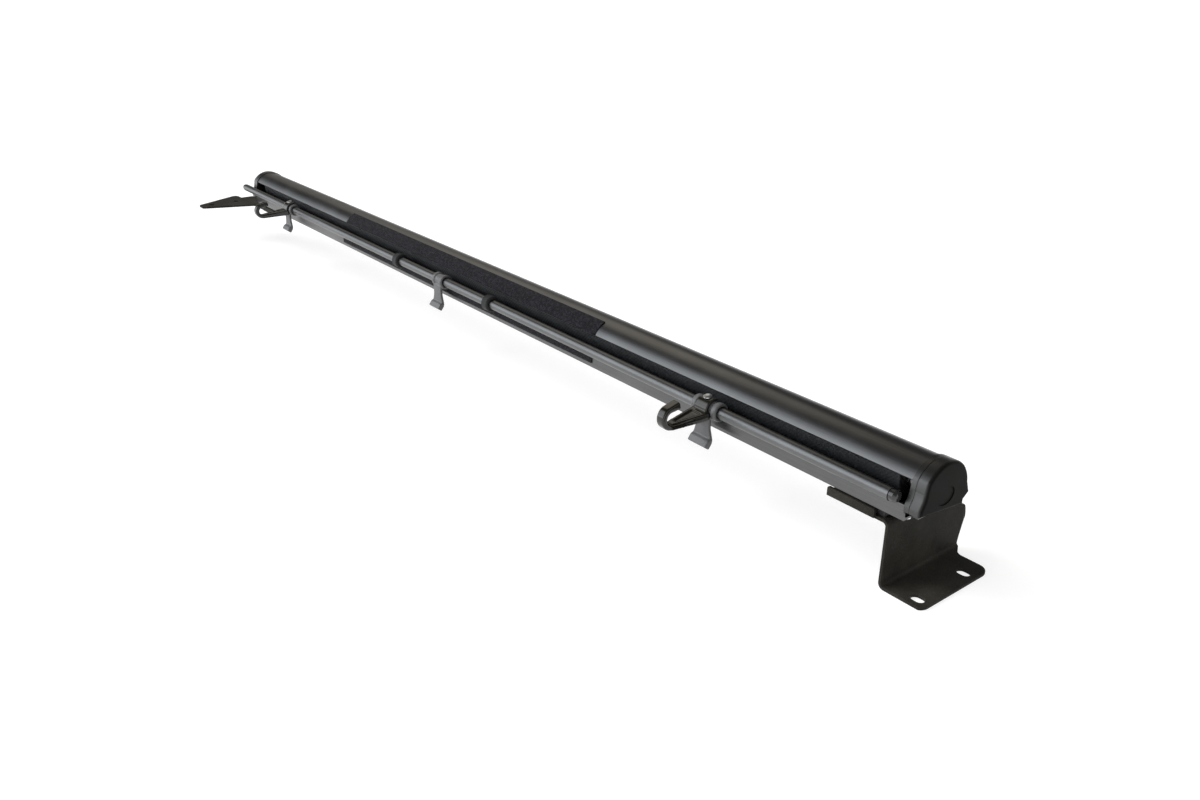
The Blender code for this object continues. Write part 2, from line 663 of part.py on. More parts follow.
def make_return_spring(start):
    """A coil on the mandrel, with one end at the mandrel's collar and the other near the roller's plug."""
    radius = MANDREL_RADIUS + 2 * CLEARANCE + SPRING_WIRE / 2
    count = SPRING_TURNS * SPRING_POINTS + 1
    low = start + CLEARANCE + SPRING_WIRE / 2
    points = []
    for index in range(count):
        share = index / (count - 1)
        angle = math.tau * SPRING_TURNS * share
        along = low + SPRING_LENGTH * share
        points.append(Vector((along, radius * math.cos(angle), radius * math.sin(angle))))
    curve = bpy.data.curves.new("return_spring", "CURVE")
    curve.dimensions = "3D"
    curve.bevel_depth = SPRING_WIRE / 2
    curve.bevel_resolution = 1
    curve.use_fill_caps = True
    spline = curve.splines.new("POLY")
    spline.points.add(count - 1)
    for point, place in zip(spline.points, points):
        point.co = (*place, 1)
    part("return_spring", curve, "steel", BAR, (0, *ROLLER_CENTRE))
    apart = min(
        (points[i] - points[j]).length - SPRING_WIRE
        for i in range(count)
        for j in range(i + SPRING_POINTS // 2, min(i + 2 * SPRING_POINTS, count))
    )
    print(f"return_spring: least gap between turns {apart * 1000:.2f} mm")


# Screen between roller and tube


def screen_run():
    """The angle and length of the screen's run from the tube's centre to the underside of the roll."""
    across = Vector(ROLLER_CENTRE) - Vector(TUBE_CENTRE)
    stand_off = ROLL_RADIUS + CLEARANCE + SCREEN_THICKNESS / 2
    angle = math.atan2(across.y, across.x) - math.asin(stand_off / across.length)
    return angle, math.sqrt(across.length**2 - stand_off**2)


def screen_notches():
    """Where the screen's hem is cut away round what sits on the tube: (middle, half width)."""
    spare = 0.002
    notches = [(side * HOOK_X, SADDLE_LENGTH / 2 + spare) for side in (-1, 1)]
    notches += [(side * BUMPER_X, BUMPER_WIDTH / 2 + spare) for side in (-1, 1)]
    notches.append((0.0, PULL_SADDLE_LENGTH / 2 + spare))
    return sorted(notches)


def make_screen_web():
    """The flat run of screen, notched along its hem."""
    angle, length = screen_run()
    hem = HEM_RADIUS + CLEARANCE
    notch = BUMPER_RADIUS + 4 * CLEARANCE
    start, end = ROLL_LOW - TUBE_MIDDLE, TUBE_HALF - TUBE_PLUG_STEM - TUBE_PLUG_HEAD
    outline = [(start, length), (start, hem)]
    for middle, half in screen_notches():
        left, right = middle - half, middle + half
        outline += [(left, hem), (left, notch), (right, notch), (right, hem)]
    outline += [(end, hem), (end, length)]
    half = SCREEN_THICKNESS / 2
    mesh = prism("screen_web", [outline], -half, half, "Z")
    part("screen_web", mesh, "screen_mesh", PULL_BAR, (0, 0, 0), (angle, 0, 0))


# Pull tube and what sits on it


def make_pull_tube():
    """The slotted tube, the hem rod inside it, and its end plugs."""
    angle, _ = screen_run()
    outer_gap = math.asin(TUBE_SLOT / 2 / TUBE_RADIUS)
    inner_gap = math.asin(TUBE_SLOT / 2 / TUBE_BORE)
    outline = arc((0, 0), TUBE_RADIUS, angle + outer_gap, angle + math.tau - outer_gap)
    outline += arc((0, 0), TUBE_BORE, angle + math.tau - inner_gap, angle + inner_gap)
    part("pull_tube", prism("pull_tube", [outline], -TUBE_HALF, TUBE_HALF), "tube_metal", PULL_BAR)

    hem_half = TUBE_HALF - TUBE_PLUG_STEM - TUBE_PLUG_HEAD
    profile = rod_profile(HEM_RADIUS, -hem_half, hem_half)
    turned_part("hem_rod", profile, "nylon", PULL_BAR, (0, 0, 0), ALONG_X, sides=12)

    seat = TUBE_HALF + CLEARANCE
    stem = TUBE_BORE - CLEARANCE
    crown = seat + TUBE_PLUG_HEAD
    dome = TUBE_PLUG_HEAD / 4
    profile = [(0, crown), (TUBE_PLUG_RADIUS - 2 * dome, crown)]
    profile += [(TUBE_PLUG_RADIUS - dome / 2, crown - dome / 2), (TUBE_PLUG_RADIUS, crown - 2 * dome)]
    profile += [(TUBE_PLUG_RADIUS, seat), (stem, seat)]
    profile += [(stem, TUBE_HALF - TUBE_PLUG_STEM), (0, TUBE_HALF - TUBE_PLUG_STEM)]
    turned_part("tube_plug_right", profile, "black_rubber", PULL_BAR, (0, 0, 0), ALONG_X)
    turned_part("tube_plug_left", profile, "black_rubber", PULL_BAR, (0, 0, 0), (0, -math.pi / 2, 0))


def make_bumpers():
    """Two rubber sleeves that rest on the rail's lip."""
    chamfer = (BUMPER_RADIUS - TUBE_RADIUS) / 4
    half = BUMPER_WIDTH / 2
    inner = TUBE_RADIUS + CLEARANCE
    profile = [(BUMPER_RADIUS - chamfer, half), (BUMPER_RADIUS, half - chamfer)]
    profile += [(BUMPER_RADIUS, chamfer - half), (BUMPER_RADIUS - chamfer, -half)]
    profile += [(inner, -half), (inner, half)]
    for name, side in (("bumper_left", -1), ("bumper_right", 1)):
        turned_part(name, profile, "black_rubber", PULL_BAR, (side * BUMPER_X, 0, 0), ALONG_X, closed=True)


def make_tab(name, axis):
    """A finger tab in front of the lip: a paddle that steps forward into a thick bar along its end."""
    front = -TAB_FRONT - TAB_THICKNESS / 2
    flare_top = -TAB_DROP + TAB_FLARE_HEIGHT
    step = front - TAB_FLARE / 3
    line = [(front, TAB_TOP), (front, flare_top + TAB_THICKNESS / 2), (step, flare_top - TAB_THICKNESS / 2)]
    line.append((front - TAB_FLARE, -TAB_DROP))
    halves = [TAB_THICKNESS / 2] * 2 + [TAB_LIP_THICKNESS / 2] * 2
    wide = TAB_END_WIDTH / 2
    tab = cutter(name, prism(name, [band(line, halves)], -wide, wide), axis)
    narrow = TAB_TOP_WIDTH / 2
    shoulder = -TAB_DROP / 2
    low = -TAB_DROP - TAB_LIP_THICKNESS / 2
    right = [(wide, low), (wide, flare_top), (narrow, shoulder), (narrow, 0)]
    left = [(-x, z) for x, z in reversed(right)]
    outline = rounded(left + right, [0] + [TAB_CORNER] * 6 + [0])
    face = prism(f"{name}_face", [outline], 2 * (front - TAB_FLARE), TAB_FRONT, "Y")
    boolean(tab, cutter(f"{name}_face", face, axis), "INTERSECT")
    round_edges(tab, TAB_EDGE_ROUND)
    return tab


def saddle_profile(length):
    """A barrel with a flange at each end, whose outer rims are chamfered."""
    half = length / 2
    waist = half - SADDLE_FLANGE_WIDTH
    chamfer = (SADDLE_FLANGE - SADDLE_BARREL) / 2
    profile = [(SADDLE_FLANGE - chamfer, half), (SADDLE_FLANGE, half - chamfer)]
    profile += [(SADDLE_FLANGE, waist), (SADDLE_BARREL, waist)]
    profile += [(SADDLE_BARREL, -waist), (SADDLE_FLANGE, -waist)]
    profile += [(SADDLE_FLANGE, chamfer - half), (SADDLE_FLANGE - chamfer, -half)]
    return profile + [(SADDLE_BORE, -half), (SADDLE_BORE, half)]


def make_saddle(name, length, axis):
    """A saddle that swings on the tube, with its finger tab."""
    profile = saddle_profile(length)
    made = turned_part(name, profile, "tab_plastic", axis, (0, 0, 0), ALONG_X, closed=True, sides=28)
    return boolean(made, make_tab(f"{name}_tab", axis), "UNION")


def hook_line():
    """The hook's middle line, from its eye forward, round the bend and back to the tip."""
    start = (-SADDLE_BARREL, -HOOK_ROOT_DROP)
    bend = (-HOOK_REACH, -HOOK_DROP + HOOK_BEND_RADIUS)
    slope = math.atan2(start[1] + HOOK_DROP, start[0] + HOOK_REACH)
    line = [start]
    line += arc(bend, HOOK_BEND_RADIUS, 1.5 * math.pi + slope, 0.5 * math.pi + HOOK_TIP_RISE)
    tip = Vector(line[-1]) + HOOK_TIP_LENGTH * Vector((math.cos(HOOK_TIP_RISE), math.sin(HOOK_TIP_RISE)))
    return line + [tuple(tip)]


def eye_outline():
    """The hook's open eye, which wraps the saddle's barrel from above round to the front."""
    inner = SADDLE_BARREL + CLEARANCE
    outline = arc((0, 0), inner + HOOK_EYE_WALL, HOOK_EYE_START, HOOK_EYE_END)
    return outline + arc((0, 0), inner, HOOK_EYE_END, HOOK_EYE_START)


def fan_mesh(name, outline, narrow, wide):
    """A plate of the outline, wide where it meets the eye and narrow from half its reach on."""
    mesh = prism(name, [outline], -narrow / 2, narrow / 2)
    for vertex in mesh.vertices:
        if vertex.co.y > -HOOK_REACH / 2:
            vertex.co.x *= wide / narrow
        vertex.co.x -= HOOK_SHIFT
    return mesh


def groove_outline(line):
    """A shallow groove along the top of the hook's arm."""
    start, end = Vector(line[0]), Vector(line[1])
    up = Vector((0, HOOK_ROOT_THICKNESS / 2)), Vector((0, HOOK_THICKNESS / 2))
    near = start.lerp(end, 0.2) + up[0].lerp(up[1], 0.2)
    far = start.lerp(end, 0.85) + up[0].lerp(up[1], 0.85)
    return band([tuple(near), tuple(far)], [HOOK_GROOVE_DEPTH] * 2)


def make_hook(side_name, axis):
    """A saddle with its tab, a hook round it, and the screw that holds the hook to the saddle."""
    saddle = make_saddle(f"hook_saddle_{side_name}", SADDLE_LENGTH, axis)
    name = f"hook_{side_name}"
    line = hook_line()
    halves = [HOOK_ROOT_THICKNESS / 2] + [HOOK_THICKNESS / 2] * (len(line) - 2) + [HOOK_TIP_THICKNESS / 2]
    hook = part(name, fan_mesh(name, band(line, halves), HOOK_WIDTH, HOOK_FAN_WIDTH), "hook_metal", axis)
    round_edges(hook, HOOK_EDGE_ROUND)
    groove = fan_mesh(f"{name}_groove", groove_outline(line), HOOK_WIDTH / 3, HOOK_FAN_WIDTH / 2)
    boolean(hook, cutter(f"{name}_groove", groove, axis), "DIFFERENCE")
    low, high = -HOOK_SHIFT - HOOK_EYE_WIDTH / 2, -HOOK_SHIFT + HOOK_EYE_WIDTH / 2
    eye = cutter(f"{name}_eye", prism(f"{name}_eye", [eye_outline()], low, high), axis)
    boolean(hook, eye, "UNION")
    barrel = circle((0, 0), SADDLE_BARREL + CLEARANCE, 28)
    room = prism(f"{name}_room", [barrel], -SADDLE_LENGTH, SADDLE_LENGTH)
    boolean(hook, cutter(f"{name}_room", room, axis), "DIFFERENCE")
    waist = SADDLE_LENGTH / 2 - SADDLE_FLANGE_WIDTH - CLEARANCE
    for end, (near, far) in (("left", (-SADDLE_LENGTH, -waist)), ("right", (waist, SADDLE_LENGTH))):
        rim = prism(f"{name}_rim_{end}", [circle((0, 0), SADDLE_FLANGE + CLEARANCE, 28)], near, far)
        boolean(hook, cutter(f"{name}_rim_{end}", rim, axis), "DIFFERENCE")
    low = (-TAB_END_WIDTH, -TAB_FRONT - TAB_THICKNESS - CLEARANCE, -TAB_DROP)
    high = (TAB_END_WIDTH, TAB_FRONT, TAB_TOP + CLEARANCE)
    boolean(hook, cutter(f"{name}_tab_room", block(f"{name}_tab_room", low, high), axis), "DIFFERENCE")

    tilt = (HOOK_SCREW_ANGLE - math.pi / 2, 0, 0)
    seat = SADDLE_BARREL + HOOK_EYE_WALL + 2 * CLEARANCE
    deep = TUBE_RADIUS + 3 * CLEARANCE
    bore = circle((0, 0), HOOK_SCREW_SHANK + CLEARANCE, 12)
    hole = prism(f"{name}_hole", [bore], deep - CLEARANCE, 2 * seat, "Z")
    drill = cutter(f"{name}_drill", hole, axis, (-HOOK_SHIFT, 0, 0), tilt)
    boolean(hook, drill, "DIFFERENCE")
    boolean(saddle, drill, "DIFFERENCE")
    dome = HOOK_SCREW_RADIUS / 2
    profile = [(0, seat + dome), (HOOK_SCREW_RADIUS / 2, seat + dome)]
    profile += [(HOOK_SCREW_RADIUS, seat + dome / 2), (HOOK_SCREW_RADIUS, seat)]
    profile += [(HOOK_SCREW_SHANK, seat), (HOOK_SCREW_SHANK, deep), (0, deep)]
    turned_part(f"hook_screw_{side_name}", profile, "steel", axis, (-HOOK_SHIFT, 0, 0), tilt, sides=20)


def make_tube_fittings():
    """The two hooks and the pull tab, each on its own axis on the tube."""
    for side_name, side in (("left", -1), ("right", 1)):
        axis = empty(f"hook_{side_name}_axis", (side * HOOK_X, 0, 0), PULL_BAR)
        make_hook(side_name, axis)
    axis = empty("pull_tab_axis", (0, 0, 0), PULL_BAR)
    make_saddle("pull_tab", PULL_SADDLE_LENGTH, axis)


# Brackets


def bolt_cutter(name, side):
    """Clearance for the two bolts of one bracket, with a counterbore in the underside for their heads."""
    places = [(side * x, BOLT_Y) for x in BOLT_X]
    low = -BRACKET_DROP - PLATE
    bores = [circle(place, BOLT_RADIUS + CLEARANCE, 12) for place in places]
    shanks = cutter(name, prism(name, bores, low, NUT_PLATE_HIGH + PLATE, "Z"))
    sinks = [circle(place, BOLT_HEAD_RADIUS + CLEARANCE, 16) for place in places]
    depth = BOLT_HEAD_HEIGHT + 2 * CLEARANCE - BRACKET_DROP
    return shanks, cutter(f"{name}_heads", prism(f"{name}_heads", sinks, low, depth, "Z"))


def bracket_lip(name, side):
    """The turned-up lip along the flange's front edge."""
    start = FLANGE_MIDDLE - FLANGE_LENGTH / 2 + BRACKET_LIP_INSET
    low, high = sorted((side * start, side * (start + BRACKET_LIP_LENGTH)))
    bottom, top = -BRACKET_LIP_BOTTOM, -BRACKET_LIP_TOP
    corners = [(low, bottom), (high, bottom), (high, top), (low, top)]
    outline = rounded(corners, [0, 0, PLATE / 2, PLATE / 2])
    return cutter(name, prism(name, [outline], 0, PLATE, "Y"))


def fold_line():
    """The right bracket's middle line in (X, Z): flange, bend, web, bend and foot."""
    inner_end = HALF - FLANGE_INSET - FLANGE_LENGTH
    web_x = HALF - FLANGE_INSET + PLATE / 2
    flange_z = FLANGE_TOP - PLATE / 2
    foot_z = -FOOT_DROP + PLATE / 2
    bend = BEND_RADIUS + PLATE / 2
    line = [(inner_end, flange_z)]
    line += arc((web_x - bend, flange_z - bend), bend, math.pi / 2, 0)
    line += arc((web_x + bend, foot_z + bend), bend, math.pi, 1.5 * math.pi)
    line.append((HALF + RIGHT_REACH, foot_z))
    return line


def web_side_outline():
    """The right bracket from its end, in (Y, Z): the web leans back to carry a foot deeper than the rail."""
    spare = PLATE
    corners = [
        (0, spare),
        (FLANGE_DEPTH, spare),
        (FLANGE_DEPTH, -BRACKET_DROP - PLATE / 2),
        (WEB_BACK_HIGH, -WEB_SHOULDER_DROP),
        (WEB_BACK_LOW, -FOOT_DROP - spare),
        (0, -FOOT_DROP - spare),
    ]
    return rounded(corners, [0, 0, 0, FOOT_CORNER / 2, 0, 0])


def foot_plan_outline():
    """The right bracket from above, in (X, Y): it trims the foot's corners and leaves the rest whole."""
    inner = HALF - FLANGE_INSET - FLANGE_LENGTH - PLATE
    outer = HALF + RIGHT_REACH
    web = HALF - FLANGE_INSET
    fold = web + 2 * (PLATE + BEND_RADIUS)
    back = WEB_BACK_HIGH + PLATE
    corners = [(inner, 0), (outer, 0), (outer, FOOT_DEPTH), (fold, FOOT_DEPTH), (web, back), (inner, back)]
    return rounded(corners, [0, FOOT_CORNER, FOOT_CORNER, FOOT_FILLET, 0, 0])


def make_right_bracket():
    """A folded bracket: a flange under the rail, a web down and a slotted foot out."""
    name = "right_bracket"
    line = fold_line()
    outline = band(line, [PLATE / 2] * len(line))
    strip = prism(name, [outline], FLANGE_SET_BACK, WEB_BACK_HIGH + PLATE, "Y")
    bracket = part(name, strip, "bracket_paint")
    inner = HALF - FLANGE_INSET - FLANGE_LENGTH - PLATE
    side_view = prism(f"{name}_side", [web_side_outline()], inner, HALF + 2 * FOOT_WIDTH)
    boolean(bracket, cutter(f"{name}_side", side_view), "INTERSECT")
    plan = prism(f"{name}_plan", [foot_plan_outline()], -2 * FOOT_DROP, FOOT_DROP, "Z")
    boolean(bracket, cutter(f"{name}_plan", plan), "INTERSECT")
    boolean(bracket, bracket_lip(f"{name}_lip", 1), "UNION")
    slots = [slot((HALF + RIGHT_SLOT_OUT, y), SLOT_LENGTH, SLOT_WIDTH) for y in RIGHT_SLOT_Y]
    punch = prism(f"{name}_slots", slots, -FOOT_DROP - PLATE, -FOOT_DROP + 2 * PLATE, "Z")
    boolean(bracket, cutter(f"{name}_slots", punch), "DIFFERENCE")
    for drill in bolt_cutter(f"{name}_bolts", 1):
        boolean(bracket, drill, "DIFFERENCE")


def tongue_outline():
    """The left bracket from above, in (X, Y): a flange under the rail and a tapered foot to the front."""
    end = -HALF
    inner = end + FLANGE_INSET + FLANGE_LENGTH
    tip_low = end - TONGUE_TIP_OUT - TONGUE_TIP_WIDTH / 2
    tip_high = end - TONGUE_TIP_OUT + TONGUE_TIP_WIDTH / 2
    corners = [
        (inner, FLANGE_SET_BACK),
        (end - TONGUE_ROOT, FLANGE_SET_BACK),
        (tip_high, -TONGUE_LENGTH),
        (tip_low, -TONGUE_LENGTH),
        (end - TONGUE_REACH, FLANGE_SET_BACK),
        (end - TONGUE_NECK, FLANGE_SET_BACK),
        (end - TONGUE_NECK, FLANGE_DEPTH / 2),
        (end, FLANGE_DEPTH),
        (inner, FLANGE_DEPTH),
    ]
    corner = TONGUE_CORNER
    return rounded(corners, [0, corner, corner, corner, corner, 0, corner, corner, 0])


def make_left_bracket():
    """A flat bracket: a flange under the rail and, in the same plane, a slotted foot that reaches forward."""
    name = "left_bracket"
    mesh = prism(name, [tongue_outline()], -BRACKET_DROP, FLANGE_TOP, "Z")
    bracket = part(name, mesh, "bracket_paint")
    boolean(bracket, bracket_lip(f"{name}_lip", -1), "UNION")
    slots = [slot((-HALF - out, y), SLOT_LENGTH, SLOT_WIDTH) for out, y in LEFT_SLOTS]
    punch = prism(f"{name}_slots", slots, -BRACKET_DROP - PLATE, FLANGE_TOP + PLATE, "Z")
    boolean(bracket, cutter(f"{name}_slots", punch), "DIFFERENCE")
    for drill in bolt_cutter(f"{name}_bolts", -1):
        boolean(bracket, drill, "DIFFERENCE")


def make_bracket_fittings():
    """For each bracket: a rubber pad under the rail, a nut plate on the rail's floor, and two bolts."""
    for side_name, side in (("left", -1), ("right", 1)):
        middle = side * FLANGE_MIDDLE
        half = FLANGE_LENGTH / 2 - PAD_INSET
        low = (middle - half, FLANGE_SET_BACK + PLATE + CLEARANCE, FLANGE_TOP + CLEARANCE)
        high = (middle + half, FLANGE_DEPTH - PAD_INSET, -CLEARANCE)
        pad = part(f"{side_name}_pad", block(f"{side_name}_pad", low, high), "black_rubber")
        half = NUT_PLATE_SIZE[0] / 2
        low = (middle - half, BOLT_Y - NUT_PLATE_SIZE[1] / 2, NUT_PLATE_LOW)
        high = (middle + half, BOLT_Y + NUT_PLATE_SIZE[1] / 2, NUT_PLATE_HIGH)
        plate = part(f"{side_name}_nut_plate", block(f"{side_name}_nut_plate", low, high), "steel")
        holes = [circle((side * x, BOLT_Y), BOLT_RADIUS + CLEARANCE, 12) for x in BOLT_X]
        mesh = prism(f"{side_name}_fitting_holes", holes, -BRACKET_DROP, NUT_PLATE_HIGH + PLATE, "Z")
        drills = cutter(f"{side_name}_fitting_holes", mesh)
        boolean(pad, drills, "DIFFERENCE")
        boolean(plate, drills, "DIFFERENCE")
    make_bolts()


def make_bolts():
    """Flat-head bolts, flush in the brackets' undersides."""
    low = -BRACKET_DROP + CLEARANCE
    seat = low + BOLT_HEAD_HEIGHT
    profile = [(0, NUT_PLATE_HIGH), (BOLT_RADIUS, NUT_PLATE_HIGH), (BOLT_RADIUS, seat)]
    profile += [(BOLT_HEAD_RADIUS, seat), (BOLT_HEAD_RADIUS, low), (0, low)]
    names = ("left_bolt_inner", "left_bolt_outer", "right_bolt_inner", "right_bolt_outer")
    for name, (x, y) in zip(names, bolt_places()):
        turned_part(name, profile, "steel", BAR, (x, y, 0), (0, 0, 0), sides=16)


make_rail()
make_hood()
make_loop_strips()
make_cap("left_end_cap", -1)
make_cap("right_end_cap", 1)
make_cap_screws()
make_roller()
make_roller_supports()
make_screen_web()
make_pull_tube()
make_bumpers()
make_tube_fittings()
make_right_bracket()
make_left_bracket()
make_bracket_fittings()
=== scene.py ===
"""Bed cargo bar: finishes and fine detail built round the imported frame.

Each operator makes one piece or one group of like pieces. Run as a script, the file registers them and
calls them in order.
"""

import json
import math

import bmesh
import bpy
from bpy.props import FloatProperty, FloatVectorProperty, IntProperty, PointerProperty
from bpy.types import Operator, Panel, PropertyGroup
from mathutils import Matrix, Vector

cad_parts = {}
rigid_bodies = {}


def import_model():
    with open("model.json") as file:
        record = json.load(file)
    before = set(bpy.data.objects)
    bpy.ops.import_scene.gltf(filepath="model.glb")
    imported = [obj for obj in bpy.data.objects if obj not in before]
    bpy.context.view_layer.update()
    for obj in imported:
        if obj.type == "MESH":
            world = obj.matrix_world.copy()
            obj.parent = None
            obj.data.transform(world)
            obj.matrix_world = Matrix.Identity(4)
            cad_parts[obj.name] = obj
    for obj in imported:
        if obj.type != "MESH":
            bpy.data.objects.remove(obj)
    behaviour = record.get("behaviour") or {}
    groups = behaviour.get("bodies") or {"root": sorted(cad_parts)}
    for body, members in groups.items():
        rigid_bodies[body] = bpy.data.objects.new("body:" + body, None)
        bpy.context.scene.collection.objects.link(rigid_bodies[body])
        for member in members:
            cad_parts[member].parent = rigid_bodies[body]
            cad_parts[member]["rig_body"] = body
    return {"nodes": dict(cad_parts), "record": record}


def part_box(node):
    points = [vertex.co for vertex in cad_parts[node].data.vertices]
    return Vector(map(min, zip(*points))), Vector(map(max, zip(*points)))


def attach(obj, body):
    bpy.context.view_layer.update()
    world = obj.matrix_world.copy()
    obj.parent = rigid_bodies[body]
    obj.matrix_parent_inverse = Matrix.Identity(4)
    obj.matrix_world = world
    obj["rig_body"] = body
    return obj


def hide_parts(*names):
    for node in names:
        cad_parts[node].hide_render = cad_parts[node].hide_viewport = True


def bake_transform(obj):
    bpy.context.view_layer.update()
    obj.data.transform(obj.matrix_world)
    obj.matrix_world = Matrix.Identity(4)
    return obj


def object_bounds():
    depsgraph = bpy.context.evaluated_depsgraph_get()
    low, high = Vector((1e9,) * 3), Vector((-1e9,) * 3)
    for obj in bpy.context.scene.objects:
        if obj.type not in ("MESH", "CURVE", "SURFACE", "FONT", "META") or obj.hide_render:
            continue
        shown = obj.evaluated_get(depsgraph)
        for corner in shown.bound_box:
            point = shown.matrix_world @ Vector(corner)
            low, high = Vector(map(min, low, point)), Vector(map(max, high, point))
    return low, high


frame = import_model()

bl_info = {
    "name": "Bed Cargo Bar",
    "version": (1, 0, 0),
    "blender": (4, 5, 0),
    "location": "View3D > Sidebar > Cargo Bar",
    "description": "Builds the finishes and fine detail of a bed cargo bar round its packed frame",
    "category": "Object",
}

CAD_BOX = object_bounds()
NODES = frame["nodes"]
SLOTS = {entry["node"]: entry["material_slot"] for entry in frame["record"]["subparts"]}
SIDES = ("left", "right")

# Working values of the mesh code
MERGE_DISTANCE = 0.00001
FLAT_ANGLE = math.radians(0.5)
SHARP_ANGLE = math.radians(32)
EDGE_SEGMENTS = 2
RELAX_FACTOR = 0.5
BAND_ROWS = 24
ARC_STEPS = 10
HEAD_SIDES = 28
SHANK_SIDES = 20
HEX_SIDES = 6
CROSS_SIDES = 4
LOOP_POINTS = 7
LOOP_START = math.radians(-40)
LOOP_SWEEP = math.radians(260)
LOOP_TILT = 0.35
LOOP_SEED = 7
THREAD_SIDES = 3


# Sizes and colours that a user would change


def length_property(name, words, default, least=0.0):
    """A length that a user can change."""
    return FloatProperty(name=name, description=words, default=default, min=least, unit="LENGTH")


def share_property(name, words, default):
    """A share from 0 to 1 that a user can change."""
    return FloatProperty(name=name, description=words, default=default, min=0, max=1, subtype="FACTOR")


def colour_property(name, words, default):
    """A colour that a user can change."""
    return FloatVectorProperty(name=name, description=words, default=default, subtype="COLOR", min=0, max=1)


class CargoBarSizes(PropertyGroup):
    """Sizes of the fine detail."""

    edge_round: length_property("Edge round", "Rounding of moulded and sheared edges", 0.0004)
    cast_cell: length_property("Casting cell", "Cell of the rounded hooks, saddles and tabs", 0.0006, 0.0003)
    cast_passes: IntProperty(
        name="Casting passes", description="How often the hooks, saddles and tabs are relaxed",
        default=10, min=1,
    )
    hood_radius: length_property("Hood radius", "Outer radius of the round cover", 0.0285)
    score_width: length_property("Score width", "Half width of the parting lines on the end caps", 0.00045)
    score_inset: length_property("Score inset", "How far the ring line lies from a cap's inner edge", 0.0052)
    seam_height: length_property(
        "Seam height", "Height of the seam on a cap's rim above the rail's underside", 0.0285,
    )
    polish_start: length_property(
        "Polish start", "How far behind a cap's end face the polish of its rim begins to fade", 0.0034,
    )
    polish_end: length_property("Polish end", "How far behind a cap's end face that polish is gone", 0.0008)
    shoulder_corner: length_property(
        "Shoulder corner", "Depth of the right web's back corner that is drawn up", 0.004,
    )
    shoulder_drop: length_property("Shoulder drop", "How far below the rail that corner begins", 0.046)
    shoulder_lift: length_property(
        "Shoulder lift", "How far the right web's back shoulder rises above its node", 0.0095,
    )
    shoulder_reach: length_property(
        "Shoulder reach", "How far the right web's back edge stands behind its node", 0.0038,
    )
    strip_backing: length_property("Strip backing", "Thickness of the loop strips' woven backing", 0.0007)
    strip_wrap: FloatProperty(
        name="Strip wrap", description="How far the hood's strip runs past the hood's front edge",
        default=math.radians(2.6), subtype="ANGLE",
    )
    strip_margin: share_property("Strip margin", "Bare edge of the hood's strip as a share of its width", 0.06)
    loop_pitch: length_property("Loop pitch", "Distance between loops of the pile", 0.0019)
    loop_radius: length_property("Loop radius", "Radius of one loop of the pile", 0.00055)
    loop_thread: length_property("Loop thread", "Radius of the thread of a loop", 0.00014)
    loop_stagger: share_property("Loop stagger", "Offset of each row of loops as a share of the pitch", 0.25)
    weave_pitch: length_property("Weave pitch", "Width of one thread of the screen", 0.0011)
    screen_thickness: length_property("Screen thickness", "Thickness of the screen cloth", 0.0008)
    pay_out_band: length_property(
        "Pay-out band", "Width at rest of the band of screen that lengthens when it is pulled out", 0.0015,
    )
    roll_sides: IntProperty(name="Roll sides", description="Points round the wound screen", default=96, min=24)
    bolt_head: length_property("Bolt head", "Height of a bracket bolt's head", 0.0016)
    bolt_shank: length_property("Bolt shank", "Radius of a bracket bolt's shank", 0.0024)
    screw_seat: length_property("Screw seat", "Height of a cap screw's head on its node", 0.0020)
    screw_head: length_property("Screw head", "Height of a cap screw's head as it is made", 0.0044)
    screw_shank: length_property("Screw shank", "Radius of a cap screw's shank", 0.0019)
    hex_share: share_property("Hex socket", "Width of a hex socket as a share of its head", 0.55)
    cross_share: share_property("Cross recess", "Reach of a cross recess as a share of its head", 0.62)


class CargoBarColours(PropertyGroup):
    """Base colours of the finishes."""

    rail: colour_property("Rail", "Black anodised rail and hood", (0.130, 0.130, 0.132))
    tube: colour_property("Tube", "Dark grey anodised tube", (0.142, 0.143, 0.145))
    bracket: colour_property("Bracket", "Black paint on the brackets", (0.0205, 0.0194, 0.0168))
    cap: colour_property("Cap", "Moulded end caps", (0.0042, 0.0042, 0.0037))
    tab: colour_property("Tab", "Moulded saddles and finger tabs", (0.064, 0.064, 0.066))
    hook: colour_property("Hook", "Gloss paint on the hooks", (0.0056, 0.0051, 0.0031))
    rubber: colour_property("Rubber", "Rubber sleeves, plugs and pads", (0.010, 0.010, 0.010))
    loops: colour_property("Loops", "Pile of the loop strips", (0.0044, 0.0040, 0.0058))
    screen: colour_property("Screen", "Threads of the screen", (0.0145, 0.0157, 0.0181))
    steel: colour_property("Steel", "Plated fasteners and roller", (0.72, 0.72, 0.73))
    nylon: colour_property("Nylon", "Natural nylon plugs", (0.62, 0.60, 0.55))
    floor: colour_property("Floor", "Pale studio floor", (0.93, 0.93, 0.93))


def sizes():
    """The size properties of this scene."""
    return bpy.context.scene.cargo_bar_sizes


def colours():
    """The colour properties of this scene."""
    return bpy.context.scene.cargo_bar_colours


# Nodes


def add_node(tree, kind, inputs=None, **settings):
    """A node with its settings and inputs; an input is a socket to link or a value to hold."""
    node = tree.nodes.new(kind)
    for key, value in settings.items():
        setattr(node, key, value)
    for key, value in (inputs or {}).items():
        if isinstance(value, bpy.types.NodeSocket):
            tree.links.new(value, node.inputs[key])
        else:
            node.inputs[key].default_value = value
    return node


def math_node(tree, operation, *values):
    """A Math node's output; its inputs are sockets or numbers."""
    return add_node(tree, "ShaderNodeMath", dict(enumerate(values)), operation=operation).outputs[0]


